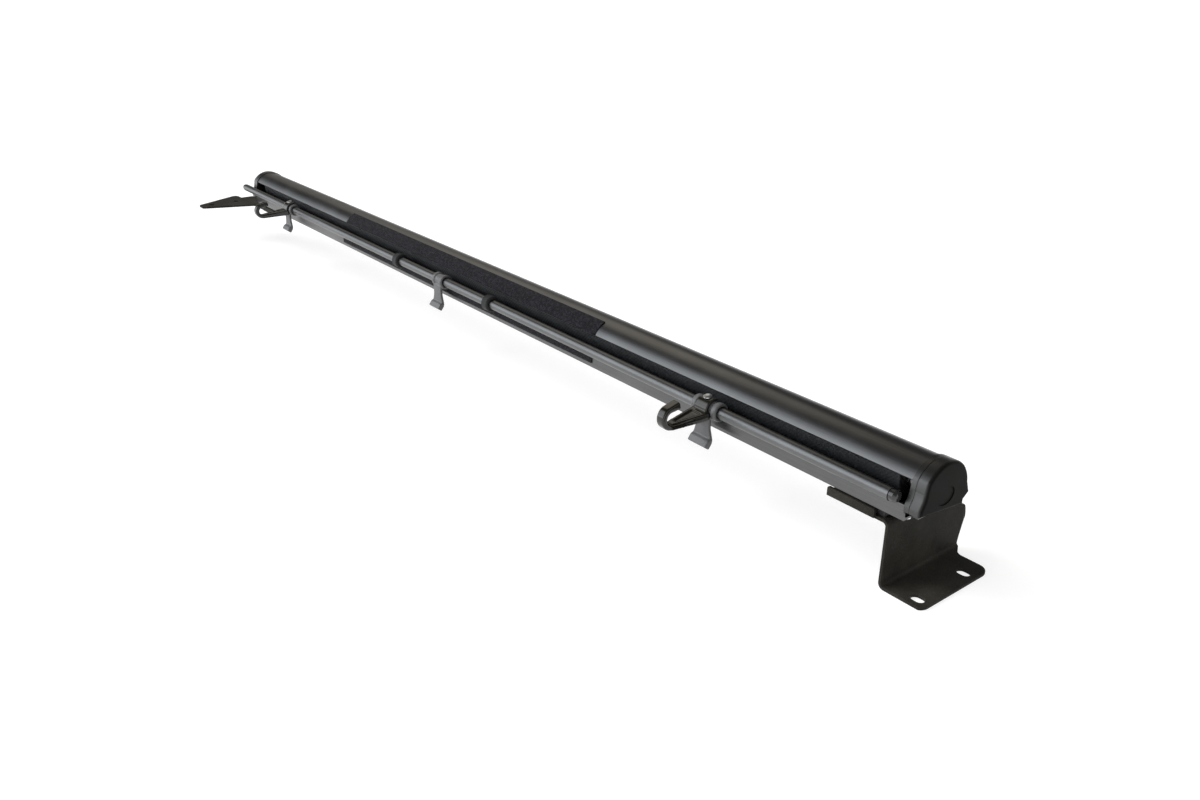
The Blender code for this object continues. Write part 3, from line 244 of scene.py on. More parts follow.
def vector_node(tree, operation, *values):
    """A Vector Math node; its inputs are sockets or vectors."""
    return add_node(tree, "ShaderNodeVectorMath", dict(enumerate(values)), operation=operation)


def split_vector(tree, vector):
    """The X, Y and Z outputs of a vector."""
    return add_node(tree, "ShaderNodeSeparateXYZ", {0: vector}).outputs


def map_range(tree, value, source=(0.0, 1.0), target=(0.0, 1.0), kind="LINEAR"):
    """A value carried from one range to another and held at its ends."""
    limits = {"From Min": source[0], "From Max": source[1], "To Min": target[0], "To Max": target[1]}
    ramp = add_node(tree, "ShaderNodeMapRange", {"Value": value, **limits}, interpolation_type=kind)
    return ramp.outputs["Result"]


def noise(tree, vector, scale, detail=2.0):
    """A noise texture's value; scale is a socket or a number."""
    inputs = {"Vector": vector, "Scale": scale, "Detail": detail}
    return add_node(tree, "ShaderNodeTexNoise", inputs).outputs["Fac"]


# Shader node groups


def new_group(name, values, outputs):
    """A shader group with a vector, named values and outputs; gives its tree, its inputs and its outputs."""
    tree = bpy.data.node_groups.new(name, "ShaderNodeTree")
    tree.interface.new_socket("Vector", in_out="INPUT", socket_type="NodeSocketVector")
    for label, default in values.items():
        socket = tree.interface.new_socket(label, in_out="INPUT", socket_type="NodeSocketFloat")
        socket.default_value = default
    for label in outputs:
        tree.interface.new_socket(label, in_out="OUTPUT", socket_type="NodeSocketFloat")
    return tree, tree.nodes.new("NodeGroupInput").outputs, tree.nodes.new("NodeGroupOutput").inputs


def drawn_grain_group():
    """Fine lines along X, as a die leaves on an extrusion."""
    tree, start, end = new_group("drawn_grain", {"Across": 900.0, "Along": 6.0}, ("Lines", "Blotches"))
    split = split_vector(tree, start["Vector"])
    scales = {"X": start["Along"], "Y": start["Across"], "Z": start["Across"]}
    drawn = {axis: math_node(tree, "MULTIPLY", split[axis], scale) for axis, scale in scales.items()}
    joined = add_node(tree, "ShaderNodeCombineXYZ", drawn).outputs[0]
    tree.links.new(noise(tree, joined, scale=1.0, detail=3.0), end["Lines"])
    tree.links.new(noise(tree, start["Vector"], scale=14.0, detail=4.0), end["Blotches"])
    return tree


def moulded_grain_group():
    """The fine pebble of a moulding tool or of sprayed paint."""
    tree, start, end = new_group("moulded_grain", {"Scale": 1500.0}, ("Pebble", "Patches"))
    place = {"Vector": start["Vector"], "Scale": start["Scale"]}
    cells = add_node(tree, "ShaderNodeTexVoronoi", place, feature="SMOOTH_F1").outputs["Distance"]
    fine = math_node(tree, "MULTIPLY", noise(tree, start["Vector"], start["Scale"]), 0.5)
    tree.links.new(math_node(tree, "ADD", cells, fine), end["Pebble"])
    tree.links.new(noise(tree, start["Vector"], scale=35.0, detail=5.0), end["Patches"])
    return tree


def dust_group():
    """Where fine dust has settled or handling has polished the surface, from 0 to 1."""
    tree, start, end = new_group("fine_dust", {"Scale": 22.0}, ("Mask",))
    clouds = map_range(tree, noise(tree, start["Vector"], start["Scale"], detail=6.0), (0.50, 0.78))
    specks = noise(tree, start["Vector"], scale=1800.0, detail=1.0)
    tree.links.new(math_node(tree, "MULTIPLY", clouds, specks), end["Mask"])
    return tree


def twill_group():
    """A two-and-two twill: how lit each thread is, and how high it stands. The vector is in metres."""
    tree, start, end = new_group("twill_weave", {"Pitch": 0.0016}, ("Thread", "Height"))
    split = split_vector(tree, start["Vector"])
    across, along = (math_node(tree, "DIVIDE", split[axis], start["Pitch"]) for axis in "XY")
    cell = math_node(tree, "ADD", math_node(tree, "FLOOR", across), math_node(tree, "FLOOR", along))
    over = math_node(tree, "LESS_THAN", math_node(tree, "FLOORED_MODULO", cell, 4.0), 2.0)
    warp, weft = (
        math_node(tree, "SINE", math_node(tree, "MULTIPLY", math_node(tree, "FRACT", run), math.pi))
        for run in (across, along)
    )
    height = add_node(tree, "ShaderNodeMix", {"Factor": over, "A": weft, "B": warp}).outputs["Result"]
    shade = math_node(tree, "MULTIPLY_ADD", over, 0.55, 0.45)
    tree.links.new(math_node(tree, "MULTIPLY", shade, height), end["Thread"])
    tree.links.new(height, end["Height"])
    return tree


GROUPS = {}


def effect(tree, maker, vector, **values):
    """A shared effect, made once, placed in a material with its own values; gives its outputs."""
    if maker not in GROUPS:
        GROUPS[maker] = maker()
    inputs = {label.capitalize(): value for label, value in values.items()}
    return add_node(tree, "ShaderNodeGroup", {"Vector": vector, **inputs}, node_tree=GROUPS[maker]).outputs


# Materials


def new_material(name, metallic=0.0, roughness=0.5, coat=0.0, sheen=0.0, specular=0.5):
    """A Principled material; gives the material, its tree, its shader and its Object coordinates."""
    made = bpy.data.materials.new(name)
    made.use_nodes = True
    tree = made.node_tree
    shader = tree.nodes["Principled BSDF"]
    values = {"Metallic": metallic, "Roughness": roughness, "Coat Weight": coat, "Sheen Weight": sheen}
    for label, value in {**values, "Specular IOR Level": specular}.items():
        shader.inputs[label].default_value = value
    return made, tree, shader, add_node(tree, "ShaderNodeTexCoord").outputs["Object"]


def tint(tree, shader, mask, colour, darkest, palest):
    """Runs the base colour from its darkest share to its palest by a mask."""
    dark = (*[channel * darkest for channel in colour], 1)
    light = (*[min(1.0, channel * palest) for channel in colour], 1)
    mix = add_node(tree, "ShaderNodeMix", {"Factor": mask, "A": dark, "B": light}, data_type="RGBA")
    tree.links.new(mix.outputs["Result"], shader.inputs["Base Color"])


def vary_roughness(tree, shader, mask, low, high):
    """Runs the roughness between two values by a mask."""
    tree.links.new(map_range(tree, mask, target=(low, high)), shader.inputs["Roughness"])


def bump(tree, shader, height, depth, strength):
    """Raises the surface by a height mask; depth is in metres."""
    node = add_node(tree, "ShaderNodeBump", {"Strength": strength, "Distance": depth, "Height": height})
    tree.links.new(node.outputs["Normal"], shader.inputs["Normal"])


def anodised(name, colour, roughness):
    """Anodised extrusion: drawn lines along the bar, a little dust and cloudy gloss."""
    made, tree, shader, place = new_material(name, metallic=1.0)
    grain = effect(tree, drawn_grain_group, place, across=1400.0, along=5.0)
    dust = effect(tree, dust_group, place, scale=16.0)["Mask"]
    lines = math_node(tree, "MULTIPLY", grain["Lines"], 0.8)
    tint(tree, shader, math_node(tree, "ADD", lines, dust), colour, darkest=0.80, palest=1.25)
    wear = math_node(tree, "ADD", grain["Blotches"], math_node(tree, "MULTIPLY", dust, 0.6))
    vary_roughness(tree, shader, wear, *roughness)
    bump(tree, shader, grain["Lines"], depth=0.00002, strength=0.25)
    return made


def painted(name, colour, roughness, scale, depth, coat=0.0, specular=0.5):
    """Sprayed paint: fine peel, cloudy gloss and dust."""
    made, tree, shader, place = new_material(name, coat=coat, specular=specular)
    grain = effect(tree, moulded_grain_group, place, scale=scale)
    dust = effect(tree, dust_group, place, scale=24.0)["Mask"]
    speckle = math_node(tree, "MULTIPLY", grain["Pebble"], grain["Patches"])
    tint(tree, shader, math_node(tree, "ADD", speckle, dust), colour, darkest=0.55, palest=2.2)
    vary_roughness(tree, shader, grain["Patches"], *roughness)
    bump(tree, shader, grain["Pebble"], depth, strength=0.35)
    return made


def moulded(name, colour, roughness, scale, depth, specular=0.5):
    """Moulded plastic or rubber: pebbled, with paler rubbed patches."""
    made, tree, shader, place = new_material(name, specular=specular)
    grain = effect(tree, moulded_grain_group, place, scale=scale)
    dust = effect(tree, dust_group, place, scale=30.0)["Mask"]
    pebbles = math_node(tree, "MULTIPLY", grain["Pebble"], 0.35)
    mask = math_node(tree, "ADD", pebbles, math_node(tree, "MULTIPLY", grain["Patches"], 0.5))
    tint(tree, shader, math_node(tree, "ADD", mask, dust), colour, darkest=0.70, palest=1.55)
    vary_roughness(tree, shader, grain["Patches"], *roughness)
    bump(tree, shader, grain["Pebble"], depth, strength=0.5)
    return made


def gloss_rim(made):
    """Polishes a cap's rim and leaves its end face matt, by the distance along the bar."""
    first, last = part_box("left_end_cap")[0].x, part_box("right_end_cap")[1].x
    face = (last - first) / 2
    tree = made.node_tree
    shader = tree.nodes["Principled BSDF"]
    place = add_node(tree, "ShaderNodeTexCoord").outputs["Object"]
    offset = math_node(tree, "SUBTRACT", split_vector(tree, place)["X"], (first + last) / 2)
    fade = (face - sizes().polish_start, face - sizes().polish_end)
    polish = map_range(tree, math_node(tree, "ABSOLUTE", offset), fade, (1.0, 0.0))
    tree.links.new(polish, shader.inputs["Coat Weight"])
    shader.inputs["Coat Roughness"].default_value = 0.32
    shader.inputs["Coat IOR"].default_value = 1.7
    return made


def plated(name, colour):
    """Zinc plating: bright, with faint clouding."""
    made, tree, shader, place = new_material(name, metallic=1.0)
    grain = effect(tree, moulded_grain_group, place, scale=900.0)
    tint(tree, shader, grain["Patches"], colour, darkest=0.75, palest=1.2)
    vary_roughness(tree, shader, grain["Patches"], low=0.22, high=0.42)
    bump(tree, shader, grain["Pebble"], depth=0.00002, strength=0.3)
    return made


def pile(name, colour):
    """Looped pile: soft, with scattered pale specks in random tufts."""
    made, tree, shader, place = new_material(name, roughness=0.9, sheen=0.08, specular=0.2)
    fibre = noise(tree, place, scale=2600.0, detail=3.0)
    tufts = map_range(tree, noise(tree, place, scale=420.0), (0.46, 0.66))
    tint(tree, shader, math_node(tree, "MULTIPLY", tufts, fibre), colour, darkest=0.7, palest=8.0)
    bump(tree, shader, fibre, depth=0.0001, strength=0.6)
    return made


def woven(name, colour, vector_kind):
    """Coated twill with painted shade between the threads and a painted highlight on their crowns, read from a
    UV map in metres or from Object coordinates.
    """
    made, tree, shader, place = new_material(name)
    if vector_kind == "UV":
        place = add_node(tree, "ShaderNodeUVMap", uv_map="cloth").outputs["UV"]
    weave = effect(tree, twill_group, place, pitch=sizes().weave_pitch)
    fuzz = math_node(tree, "ADD", noise(tree, place, scale=900.0, detail=3.0), 0.45)
    # Painted shade and highlight: the colour darkens where threads dip and on threads that pass under, and is
    # paler on the crowns of threads that pass over.
    tint(tree, shader, math_node(tree, "MULTIPLY", weave["Thread"], fuzz), colour, darkest=0.25, palest=2.0)
    vary_roughness(tree, shader, weave["Thread"], low=0.72, high=0.42)
    bump(tree, shader, weave["Height"], depth=0.00035, strength=0.8)
    return made


def make_finishes():
    """Every finish, by the record's slot, with the pieces' own variants."""
    paint = colours()
    return {
        "rail_metal": anodised("black_anodised", paint.rail, roughness=(0.27, 0.40)),
        "tube_metal": anodised("grey_anodised", paint.tube, roughness=(0.30, 0.44)),
        "bracket_paint": painted(
            "bracket_paint", paint.bracket, roughness=(0.45, 0.60), scale=900.0, depth=0.00008, specular=0.03,
        ),
        "cap_plastic": gloss_rim(moulded(
            "cap_plastic", paint.cap, roughness=(0.46, 0.62), scale=1700.0, depth=0.00008, specular=0.05,
        )),
        "tab_plastic": moulded(
            "tab_plastic", paint.tab, roughness=(0.32, 0.46), scale=1500.0, depth=0.00006,
        ),
        "tube_plug": moulded(
            "plug_gloss", paint.rubber, roughness=(0.08, 0.14), scale=900.0, depth=0.00001, specular=0.7,
        ),
        "hook_metal": painted(
            "hook_paint", paint.hook, roughness=(0.10, 0.20), scale=500.0, depth=0.00004, coat=0.5,
            specular=0.3,
        ),
        "black_rubber": moulded(
            "black_rubber", paint.rubber, roughness=(0.60, 0.80), scale=1100.0, depth=0.00010,
        ),
        "loop_fabric": pile("loop_pile", paint.loops),
        "screen_mesh": woven("screen_twill", paint.screen, "Object"),
        "screen_roll": woven("screen_twill_wound", paint.screen, "UV"),
        "steel": plated("zinc_plate", paint.steel),
        "nylon": moulded(
            "natural_nylon", paint.nylon, roughness=(0.35, 0.50), scale=1000.0, depth=0.00003,
        ),
    }


FINISHES = {}


def finish(slot):
    """The material of a slot."""
    if not FINISHES:
        FINISHES.update(make_finishes())
    return FINISHES[slot]


# Pieces


def body_of(node):
    """The body that a node rides on."""
    return NODES[node]["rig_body"]


def place_piece(piece, body, slot, *replaced):
    """Attaches a finished piece to the body it rides on and hides the nodes that it stands for; slot is not
    used.
    """
    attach(piece, body)
    if replaced:
        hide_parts(*replaced)


def add_object(name, data):
    """An object at the origin."""
    made = bpy.data.objects.new(name, data)
    bpy.context.scene.collection.objects.link(made)
    return made


def new_piece(name, mesh, material):
    """An object at the origin with one material."""
    mesh.materials.clear()
    mesh.materials.append(material)
    return add_object(name, mesh)


def bake_modifiers(piece):
    """Turns a piece's modifiers into plain mesh, and removes them."""
    depsgraph = bpy.context.evaluated_depsgraph_get()
    mesh = bpy.data.meshes.new_from_object(piece.evaluated_get(depsgraph), depsgraph=depsgraph)
    mesh.name = piece.name
    piece.modifiers.clear()
    piece.data = mesh
    return piece


def shade_by_angle(mesh):
    """Smooth shading, with sharp edges where faces meet at an angle."""
    mesh.shade_smooth()
    mesh.set_sharp_from_angle(angle=SHARP_ANGLE)


def node_shape(node, weld=MERGE_DISTANCE):
    """A copy of a node's loose triangles, joined where they meet."""
    shape = bmesh.new()
    shape.from_mesh(NODES[node].data)
    bmesh.ops.remove_doubles(shape, verts=shape.verts, dist=weld)
    return shape


def shape_mesh(shape, name):
    """A finished shape as a mesh."""
    mesh = bpy.data.meshes.new(name)
    shape.to_mesh(mesh)
    shape.free()
    return mesh


def slice_shape(shape, point, normal):
    """Cuts new edges into a shape where a plane crosses it."""
    everything = list(shape.verts) + list(shape.edges) + list(shape.faces)
    bmesh.ops.bisect_plane(shape, geom=everything, dist=MERGE_DISTANCE, plane_co=point, plane_no=normal)


def score(shape, axis, place, keep):
    """Cuts a fine V groove round a shape where a coordinate has one value, on the vertices to keep."""
    half = sizes().score_width
    normal = Vector([1.0 if index == axis else 0.0 for index in range(3)])
    for offset in (-half, 0.0, half):
        slice_shape(shape, normal * (place + offset), normal)
    shape.normal_update()
    sunk = [v for v in shape.verts if abs(v.co[axis] - place) < MERGE_DISTANCE and keep(v)]
    moves = [(vertex, vertex.normal * half) for vertex in sunk]
    for vertex, move in moves:
        vertex.co -= move


def smooth_copy(node, name, edge_round=0.0, slot=None, cut=None, weld=MERGE_DISTANCE):
    """A copy of a node's mesh, joined into whole faces, with rounded edges and even shading."""
    shape = node_shape(node, weld)
    bmesh.ops.dissolve_limit(shape, angle_limit=FLAT_ANGLE, verts=shape.verts, edges=shape.edges)
    if cut:
        cut(shape)
    mesh = shape_mesh(shape, name)
    shade_by_angle(mesh)
    piece = new_piece(name, mesh, finish(slot or SLOTS[node]))
    if edge_round:
        bevel = piece.modifiers.new("edge_round", "BEVEL")
        bevel.width = edge_round
        bevel.segments = EDGE_SEGMENTS
        bevel.limit_method = "ANGLE"
        bevel.angle_limit = SHARP_ANGLE
        bevel.harden_normals = True
        bevel.use_clamp_overlap = weld == MERGE_DISTANCE
    even = piece.modifiers.new("even_shading", "WEIGHTED_NORMAL")
    even.keep_sharp = True
    place_piece(bake_modifiers(piece), body_of(node), SLOTS[node], node)


def soft_copy(node, name):
    """A copy of a node's mesh, remade in even cells and relaxed, with its edges round as on a casting."""
    piece = new_piece(name, shape_mesh(node_shape(node), name), finish(SLOTS[node]))
    cells = piece.modifiers.new("cells", "REMESH")
    cells.mode = "VOXEL"
    cells.voxel_size = sizes().cast_cell
    cells.use_smooth_shade = True
    relax = piece.modifiers.new("relax", "SMOOTH")
    relax.factor = RELAX_FACTOR
    relax.iterations = sizes().cast_passes
    place_piece(bake_modifiers(piece), body_of(node), SLOTS[node], node)


def paint_node(node):
    """A node that keeps its own mesh gets its finish."""
    slots = NODES[node].data.materials
    slots.clear()
    slots.append(finish(SLOTS[node]))


class CARGOBAR_OT_extrusions(Operator):
    """Shade the rail, the hood and the pull tube as drawn and anodised aluminium"""

    bl_idname = "cargo_bar.extrusions"
    bl_label = "Extrusions"

    def execute(self, context):
        for node in ("rail", "hood", "pull_tube"):
            smooth_copy(node, f"{node}_extrusion")
        return {"FINISHED"}


class CARGOBAR_OT_end_caps(Operator):
    """Round the edges of the two moulded end caps, and score their parting lines"""

    bl_idname = "cargo_bar.end_caps"
    bl_label = "End caps"

    rim_slope: share_property("Rim slope", "How far a surface may face along the bar and still be rim", 0.3)

    def execute(self, context):
        low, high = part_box("rail")
        rings = {"left_end_cap": low.x - sizes().score_inset, "right_end_cap": high.x + sizes().score_inset}
        for node, ring in rings.items():
            smooth_copy(node, f"{node}_moulding", sizes().edge_round, cut=self.scoring(ring, low))
        return {"FINISHED"}

    def scoring(self, ring, rail_low):
        """The cut for one cap: a line round its rim, and a seam across the rim's front."""
        front = rail_low.y + sizes().seam_height / 2

        def on_front_rim(vertex):
            return vertex.co.y < front and abs(vertex.normal.x) < self.rim_slope

        def cut(shape):
            score(shape, 0, ring, lambda vertex: True)
            score(shape, 2, rail_low.z + sizes().seam_height, on_front_rim)

        return cut


class CARGOBAR_OT_brackets(Operator):
    """Paint the two folded brackets, and finish the pads and nut plates on them"""

    bl_idname = "cargo_bar.brackets"
    bl_label = "Brackets"

    def execute(self, context):
        edge = sizes().edge_round
        smooth_copy("left_bracket", "left_bracket_plate", edge, weld=edge / 2)
        smooth_copy("right_bracket", "right_bracket_plate", edge, cut=self.lift_shoulder, weld=edge / 2)
        for side in SIDES:
            smooth_copy(f"{side}_pad", f"{side}_pad_rubber", 2 * edge)
            paint_node(f"{side}_nut_plate")
        return {"FINISHED"}

    def lift_shoulder(self, shape):
        """Draws the web's sloping top up at the back, and its back corner out, into a rounder shoulder."""
        size = sizes()
        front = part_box("right_bracket")[1].y - size.shoulder_corner
        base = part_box("rail")[0].z - size.shoulder_drop
        corner = [vertex for vertex in shape.verts if vertex.co.y > front and vertex.co.z > base]
        top = max(vertex.co.z for vertex in corner)
        low = min(vertex.co.z for vertex in corner)
        for vertex in corner:
            turn = (top - vertex.co.z) / (top - low) * math.pi / 2
            vertex.co.y = front + (size.shoulder_corner + size.shoulder_reach) * math.sin(turn)
            vertex.co.z = low + (top - low + size.shoulder_lift) * math.cos(turn)


class CARGOBAR_OT_hooks(Operator):
    """Shade the hooks in gloss paint, and the saddles and finger tabs in matt plastic"""

    bl_idname = "cargo_bar.hooks"
    bl_label = "Hooks and tabs"

    def execute(self, context):
        for side in SIDES:
            soft_copy(f"hook_{side}", f"hook_{side}_forging")
            soft_copy(f"hook_saddle_{side}", f"hook_saddle_{side}_moulding")
        soft_copy("pull_tab", "pull_tab_moulding")
        return {"FINISHED"}


class CARGOBAR_OT_tube_fittings(Operator):
    """Shade the rubber sleeves and plugs on the tube, and the rod in the screen's hem"""

    bl_idname = "cargo_bar.tube_fittings"
    bl_label = "Tube fittings"

    def execute(self, context):
        for side in SIDES:
            smooth_copy(f"bumper_{side}", f"bumper_{side}_sleeve")
            smooth_copy(f"tube_plug_{side}", f"tube_plug_{side}_cap", slot="tube_plug")
        smooth_copy("hem_rod", "hem_rod_cord")
        return {"FINISHED"}


class CARGOBAR_OT_roller_parts(Operator):
    """Finish the roller tube, its plugs and the spring inside it"""

    bl_idname = "cargo_bar.roller_parts"
    bl_label = "Roller parts"

    def execute(self, context):
        smooth_copy("roller_tube", "roller_tube_drawn")
        hidden = (
            "spring_end_plug", "idler_end_plug", "idler_bush", "idler_pin", "spring_mandrel", "return_spring",
        )
        for node in hidden:
            paint_node(node)
        return {"FINISHED"}


# The screen


def wound_mesh(low, high, axis, inner, outer):
    """The wound screen: a spiral outer turn, open at the core, with a UV map in metres on its cloth."""
    sides = sizes().roll_sides
    thickness = sizes().screen_thickness
    shape = bmesh.new()
    layer = shape.loops.layers.uv.new("cloth")
    rings = []
    for x in (low, high):
        middle = Vector((x, *axis))
        rim, core = [], []
        for index in range(sides + 1):
            share = index / sides
            angle = math.tau * share - math.pi / 2
            direction = Vector((0, math.cos(angle), math.sin(angle)))
            rim.append(shape.verts.new(middle + direction * (outer - thickness * share)))
            if index < sides:
                core.append(shape.verts.new(middle + direction * inner))
        rings.append((rim, core))
    (rim_low, core_low), (rim_high, core_high) = rings
    ends = ((rim_low, core_low, 1), (rim_high, core_high, -1))
    length = math.tau * outer / sides
    for index in range(sides):
        after = (index + 1) % sides
        cloth = shape.faces.new((rim_low[index], rim_low[index + 1], rim_high[index + 1], rim_high[index]))
        steps = (index, index + 1, index + 1, index)
        for loop, step, x in zip(cloth.loops, steps, (low, low, high, high)):
            loop[layer].uv = (x, step * length)
        shape.faces.new((core_low[after], core_low[index], core_high[index], core_high[after]))
        for rim, core, turn in ends:
            wall = shape.faces.new((rim[index + 1], rim[index], core[index], core[after])[::turn])
            for loop in wall.loops:
                loop[layer].uv = (loop.vert.co.y - axis[0], loop.vert.co.z - axis[1])
    shape.faces.new((rim_low[0], rim_high[0], rim_high[sides], rim_low[sides]))
    for rim, core, turn in ends:
        shape.faces.new((rim[0], rim[sides], core[0])[::turn])
    bmesh.ops.recalc_face_normals(shape, faces=shape.faces)
    mesh = shape_mesh(shape, "screen_wound")
    shade_by_angle(mesh)
    return mesh


def stretch_band():
    """Where the web pays out: a narrow band behind its notches and above the rail's lip, as two Y values."""
    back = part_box("screen_web")[1].y - 2 * sizes().screen_thickness
    notch = max(vertex.co.y for vertex in NODES["screen_web"].data.vertices if vertex.co.y < back)
    front = notch + sizes().edge_round
    return front + sizes().pay_out_band, front


def web_mesh():
    """The flat run of screen, copied from its node, with the band that pays out cut into rows."""
    shape = node_shape("screen_web")
    back, front = stretch_band()
    for row in range(BAND_ROWS + 1):
        slice_shape(shape, (0, back + (front - back) * row / BAND_ROWS, 0), (0, 1, 0))
    bmesh.ops.recalc_face_normals(shape, faces=shape.faces)
    mesh = shape_mesh(shape, "screen_flat")
    mesh.shade_flat()
    return mesh


class CARGOBAR_OT_screen(Operator):
    """Wind the screen on its roller, and stretch its free run from the roll to the tube"""

    bl_idname = "cargo_bar.screen"
    bl_label = "Screen"

    def execute(self, context):
        low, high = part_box("screen_roll")
        axis = ((low.y + high.y) / 2, (low.z + high.z) / 2)
        core_low, core_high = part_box("roller_tube")
        inner = (core_high.z - core_low.z) / 2 + sizes().edge_round
        mesh = wound_mesh(low.x, high.x, axis, inner, (high.z - low.z) / 2)
        roll = new_piece("screen_wound", mesh, finish("screen_roll"))
        place_piece(roll, "roller", "screen_mesh", "screen_roll")

        web = new_piece("screen_flat", web_mesh(), finish("screen_mesh"))
        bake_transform(web)
        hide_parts("screen_web")
        return {"FINISHED"}


# Geometry Nodes


def new_tree(name, inputs):
    """A Geometry Nodes tree with a geometry, named inputs and a material; gives it, its inputs and output."""
    tree = bpy.data.node_groups.new(name, "GeometryNodeTree")
    for label, kind in {"Geometry": "Geometry", **inputs, "Material": "Material"}.items():
        tree.interface.new_socket(label, in_out="INPUT", socket_type=f"NodeSocket{kind}")
    tree.interface.new_socket("Geometry", in_out="OUTPUT", socket_type="NodeSocketGeometry")
    return tree, tree.nodes.new("NodeGroupInput").outputs, tree.nodes.new("NodeGroupOutput").inputs


def close_tree(tree, instances, start, end):
    """Ends a tree: instances made real, then the material."""
    real = add_node(tree, "GeometryNodeRealizeInstances", {"Geometry": instances}).outputs["Geometry"]
    paint = add_node(tree, "GeometryNodeSetMaterial", {"Geometry": real, "Material": start["Material"]})
    tree.links.new(paint.outputs["Geometry"], end["Geometry"])
    return tree


def run_tree(name, mesh, tree, values):
    """Runs a tree on a mesh with its named inputs, and keeps the result as a plain piece."""
    piece = add_object(name, mesh)
    modifier = piece.modifiers.new("detail", "NODES")
    modifier.node_group = tree
    for item in tree.interface.items_tree:
        if item.in_out == "INPUT" and item.name in values:
            modifier[item.identifier] = values[item.name]
    return bake_modifiers(piece)


def loop_pile_tree():
    """A loop of thread stood on every point, turned at random about the surface's normal."""
    tree, start, end = new_tree("loop_pile", {"Loop Radius": "Float", "Thread Radius": "Float"})
    arc = {"Resolution": LOOP_POINTS, "Start Angle": LOOP_START, "Sweep Angle": LOOP_SWEEP}
    loop = add_node(tree, "GeometryNodeCurveArc", {**arc, "Radius": start["Loop Radius"]}).outputs["Curve"]
    ring = {"Resolution": THREAD_SIDES, "Radius": start["Thread Radius"]}
    thread = add_node(tree, "GeometryNodeCurvePrimitiveCircle", ring).outputs["Curve"]
    sweep = {"Curve": loop, "Profile Curve": thread, "Fill Caps": True}
    tube = add_node(tree, "GeometryNodeCurveToMesh", sweep).outputs["Mesh"]
    upright = add_node(tree, "GeometryNodeTransform", {"Geometry": tube, "Rotation": (math.pi / 2, 0, 0)})
    normal = add_node(tree, "GeometryNodeInputNormal").outputs[0]
    aim = add_node(tree, "FunctionNodeAlignRotationToVector", {"Vector": normal}, axis="Z").outputs["Rotation"]
    points = {"Points": start["Geometry"], "Instance": upright.outputs["Geometry"], "Rotation": aim}
    stand = add_node(tree, "GeometryNodeInstanceOnPoints", points).outputs["Instances"]
    limits = {"Min": (-LOOP_TILT, -LOOP_TILT, 0), "Max": (LOOP_TILT, LOOP_TILT, math.tau)}
    spread = {**limits, "Seed": LOOP_SEED}
    angle = add_node(tree, "FunctionNodeRandomValue", spread, data_type="FLOAT_VECTOR").outputs["Value"]
    spin = add_node(tree, "GeometryNodeRotateInstances", {"Instances": stand, "Rotation": angle})
    return close_tree(tree, spin.outputs["Instances"], start, end)


def strip_surface(name, low, high, across, width):
    """A grid of points on a strip's face: across gives the point at a share of the strip's width."""
    pitch = sizes().loop_pitch
    columns, rows = (max(2, round(length / pitch)) for length in (high - low, width))
    shape = bmesh.new()
    grid = []
    for row in range(rows):
        point = across(row / (rows - 1))
        middle = 0.5 + (sizes().loop_stagger if row % 2 else -sizes().loop_stagger)
        places = [low + (high - low) * (index + middle) / columns for index in range(columns)]
        grid.append([shape.verts.new((x, point.y, point.z)) for x in places])
    for one, other in zip(grid, grid[1:]):
        for index in range(columns - 1):
            shape.faces.new((one[index], one[index + 1], other[index + 1], other[index]))
    return shape_mesh(shape, name)


def backing_piece(name, section, low, high, node):
    """A strip's woven backing: a section carried along X."""
    shape = bmesh.new()
    base = shape.faces.new([shape.verts.new((low, y, z)) for y, z in section])
    grown = bmesh.ops.extrude_face_region(shape, geom=[base])
    moved = [item for item in grown["geom"] if isinstance(item, bmesh.types.BMVert)]
    bmesh.ops.translate(shape, verts=moved, vec=(high - low, 0, 0))
    bmesh.ops.recalc_face_normals(shape, faces=shape.faces)
    mesh = shape_mesh(shape, name)
    shade_by_angle(mesh)
    place_piece(new_piece(name, mesh, finish("loop_fabric")), "housing", "loop_fabric", node)


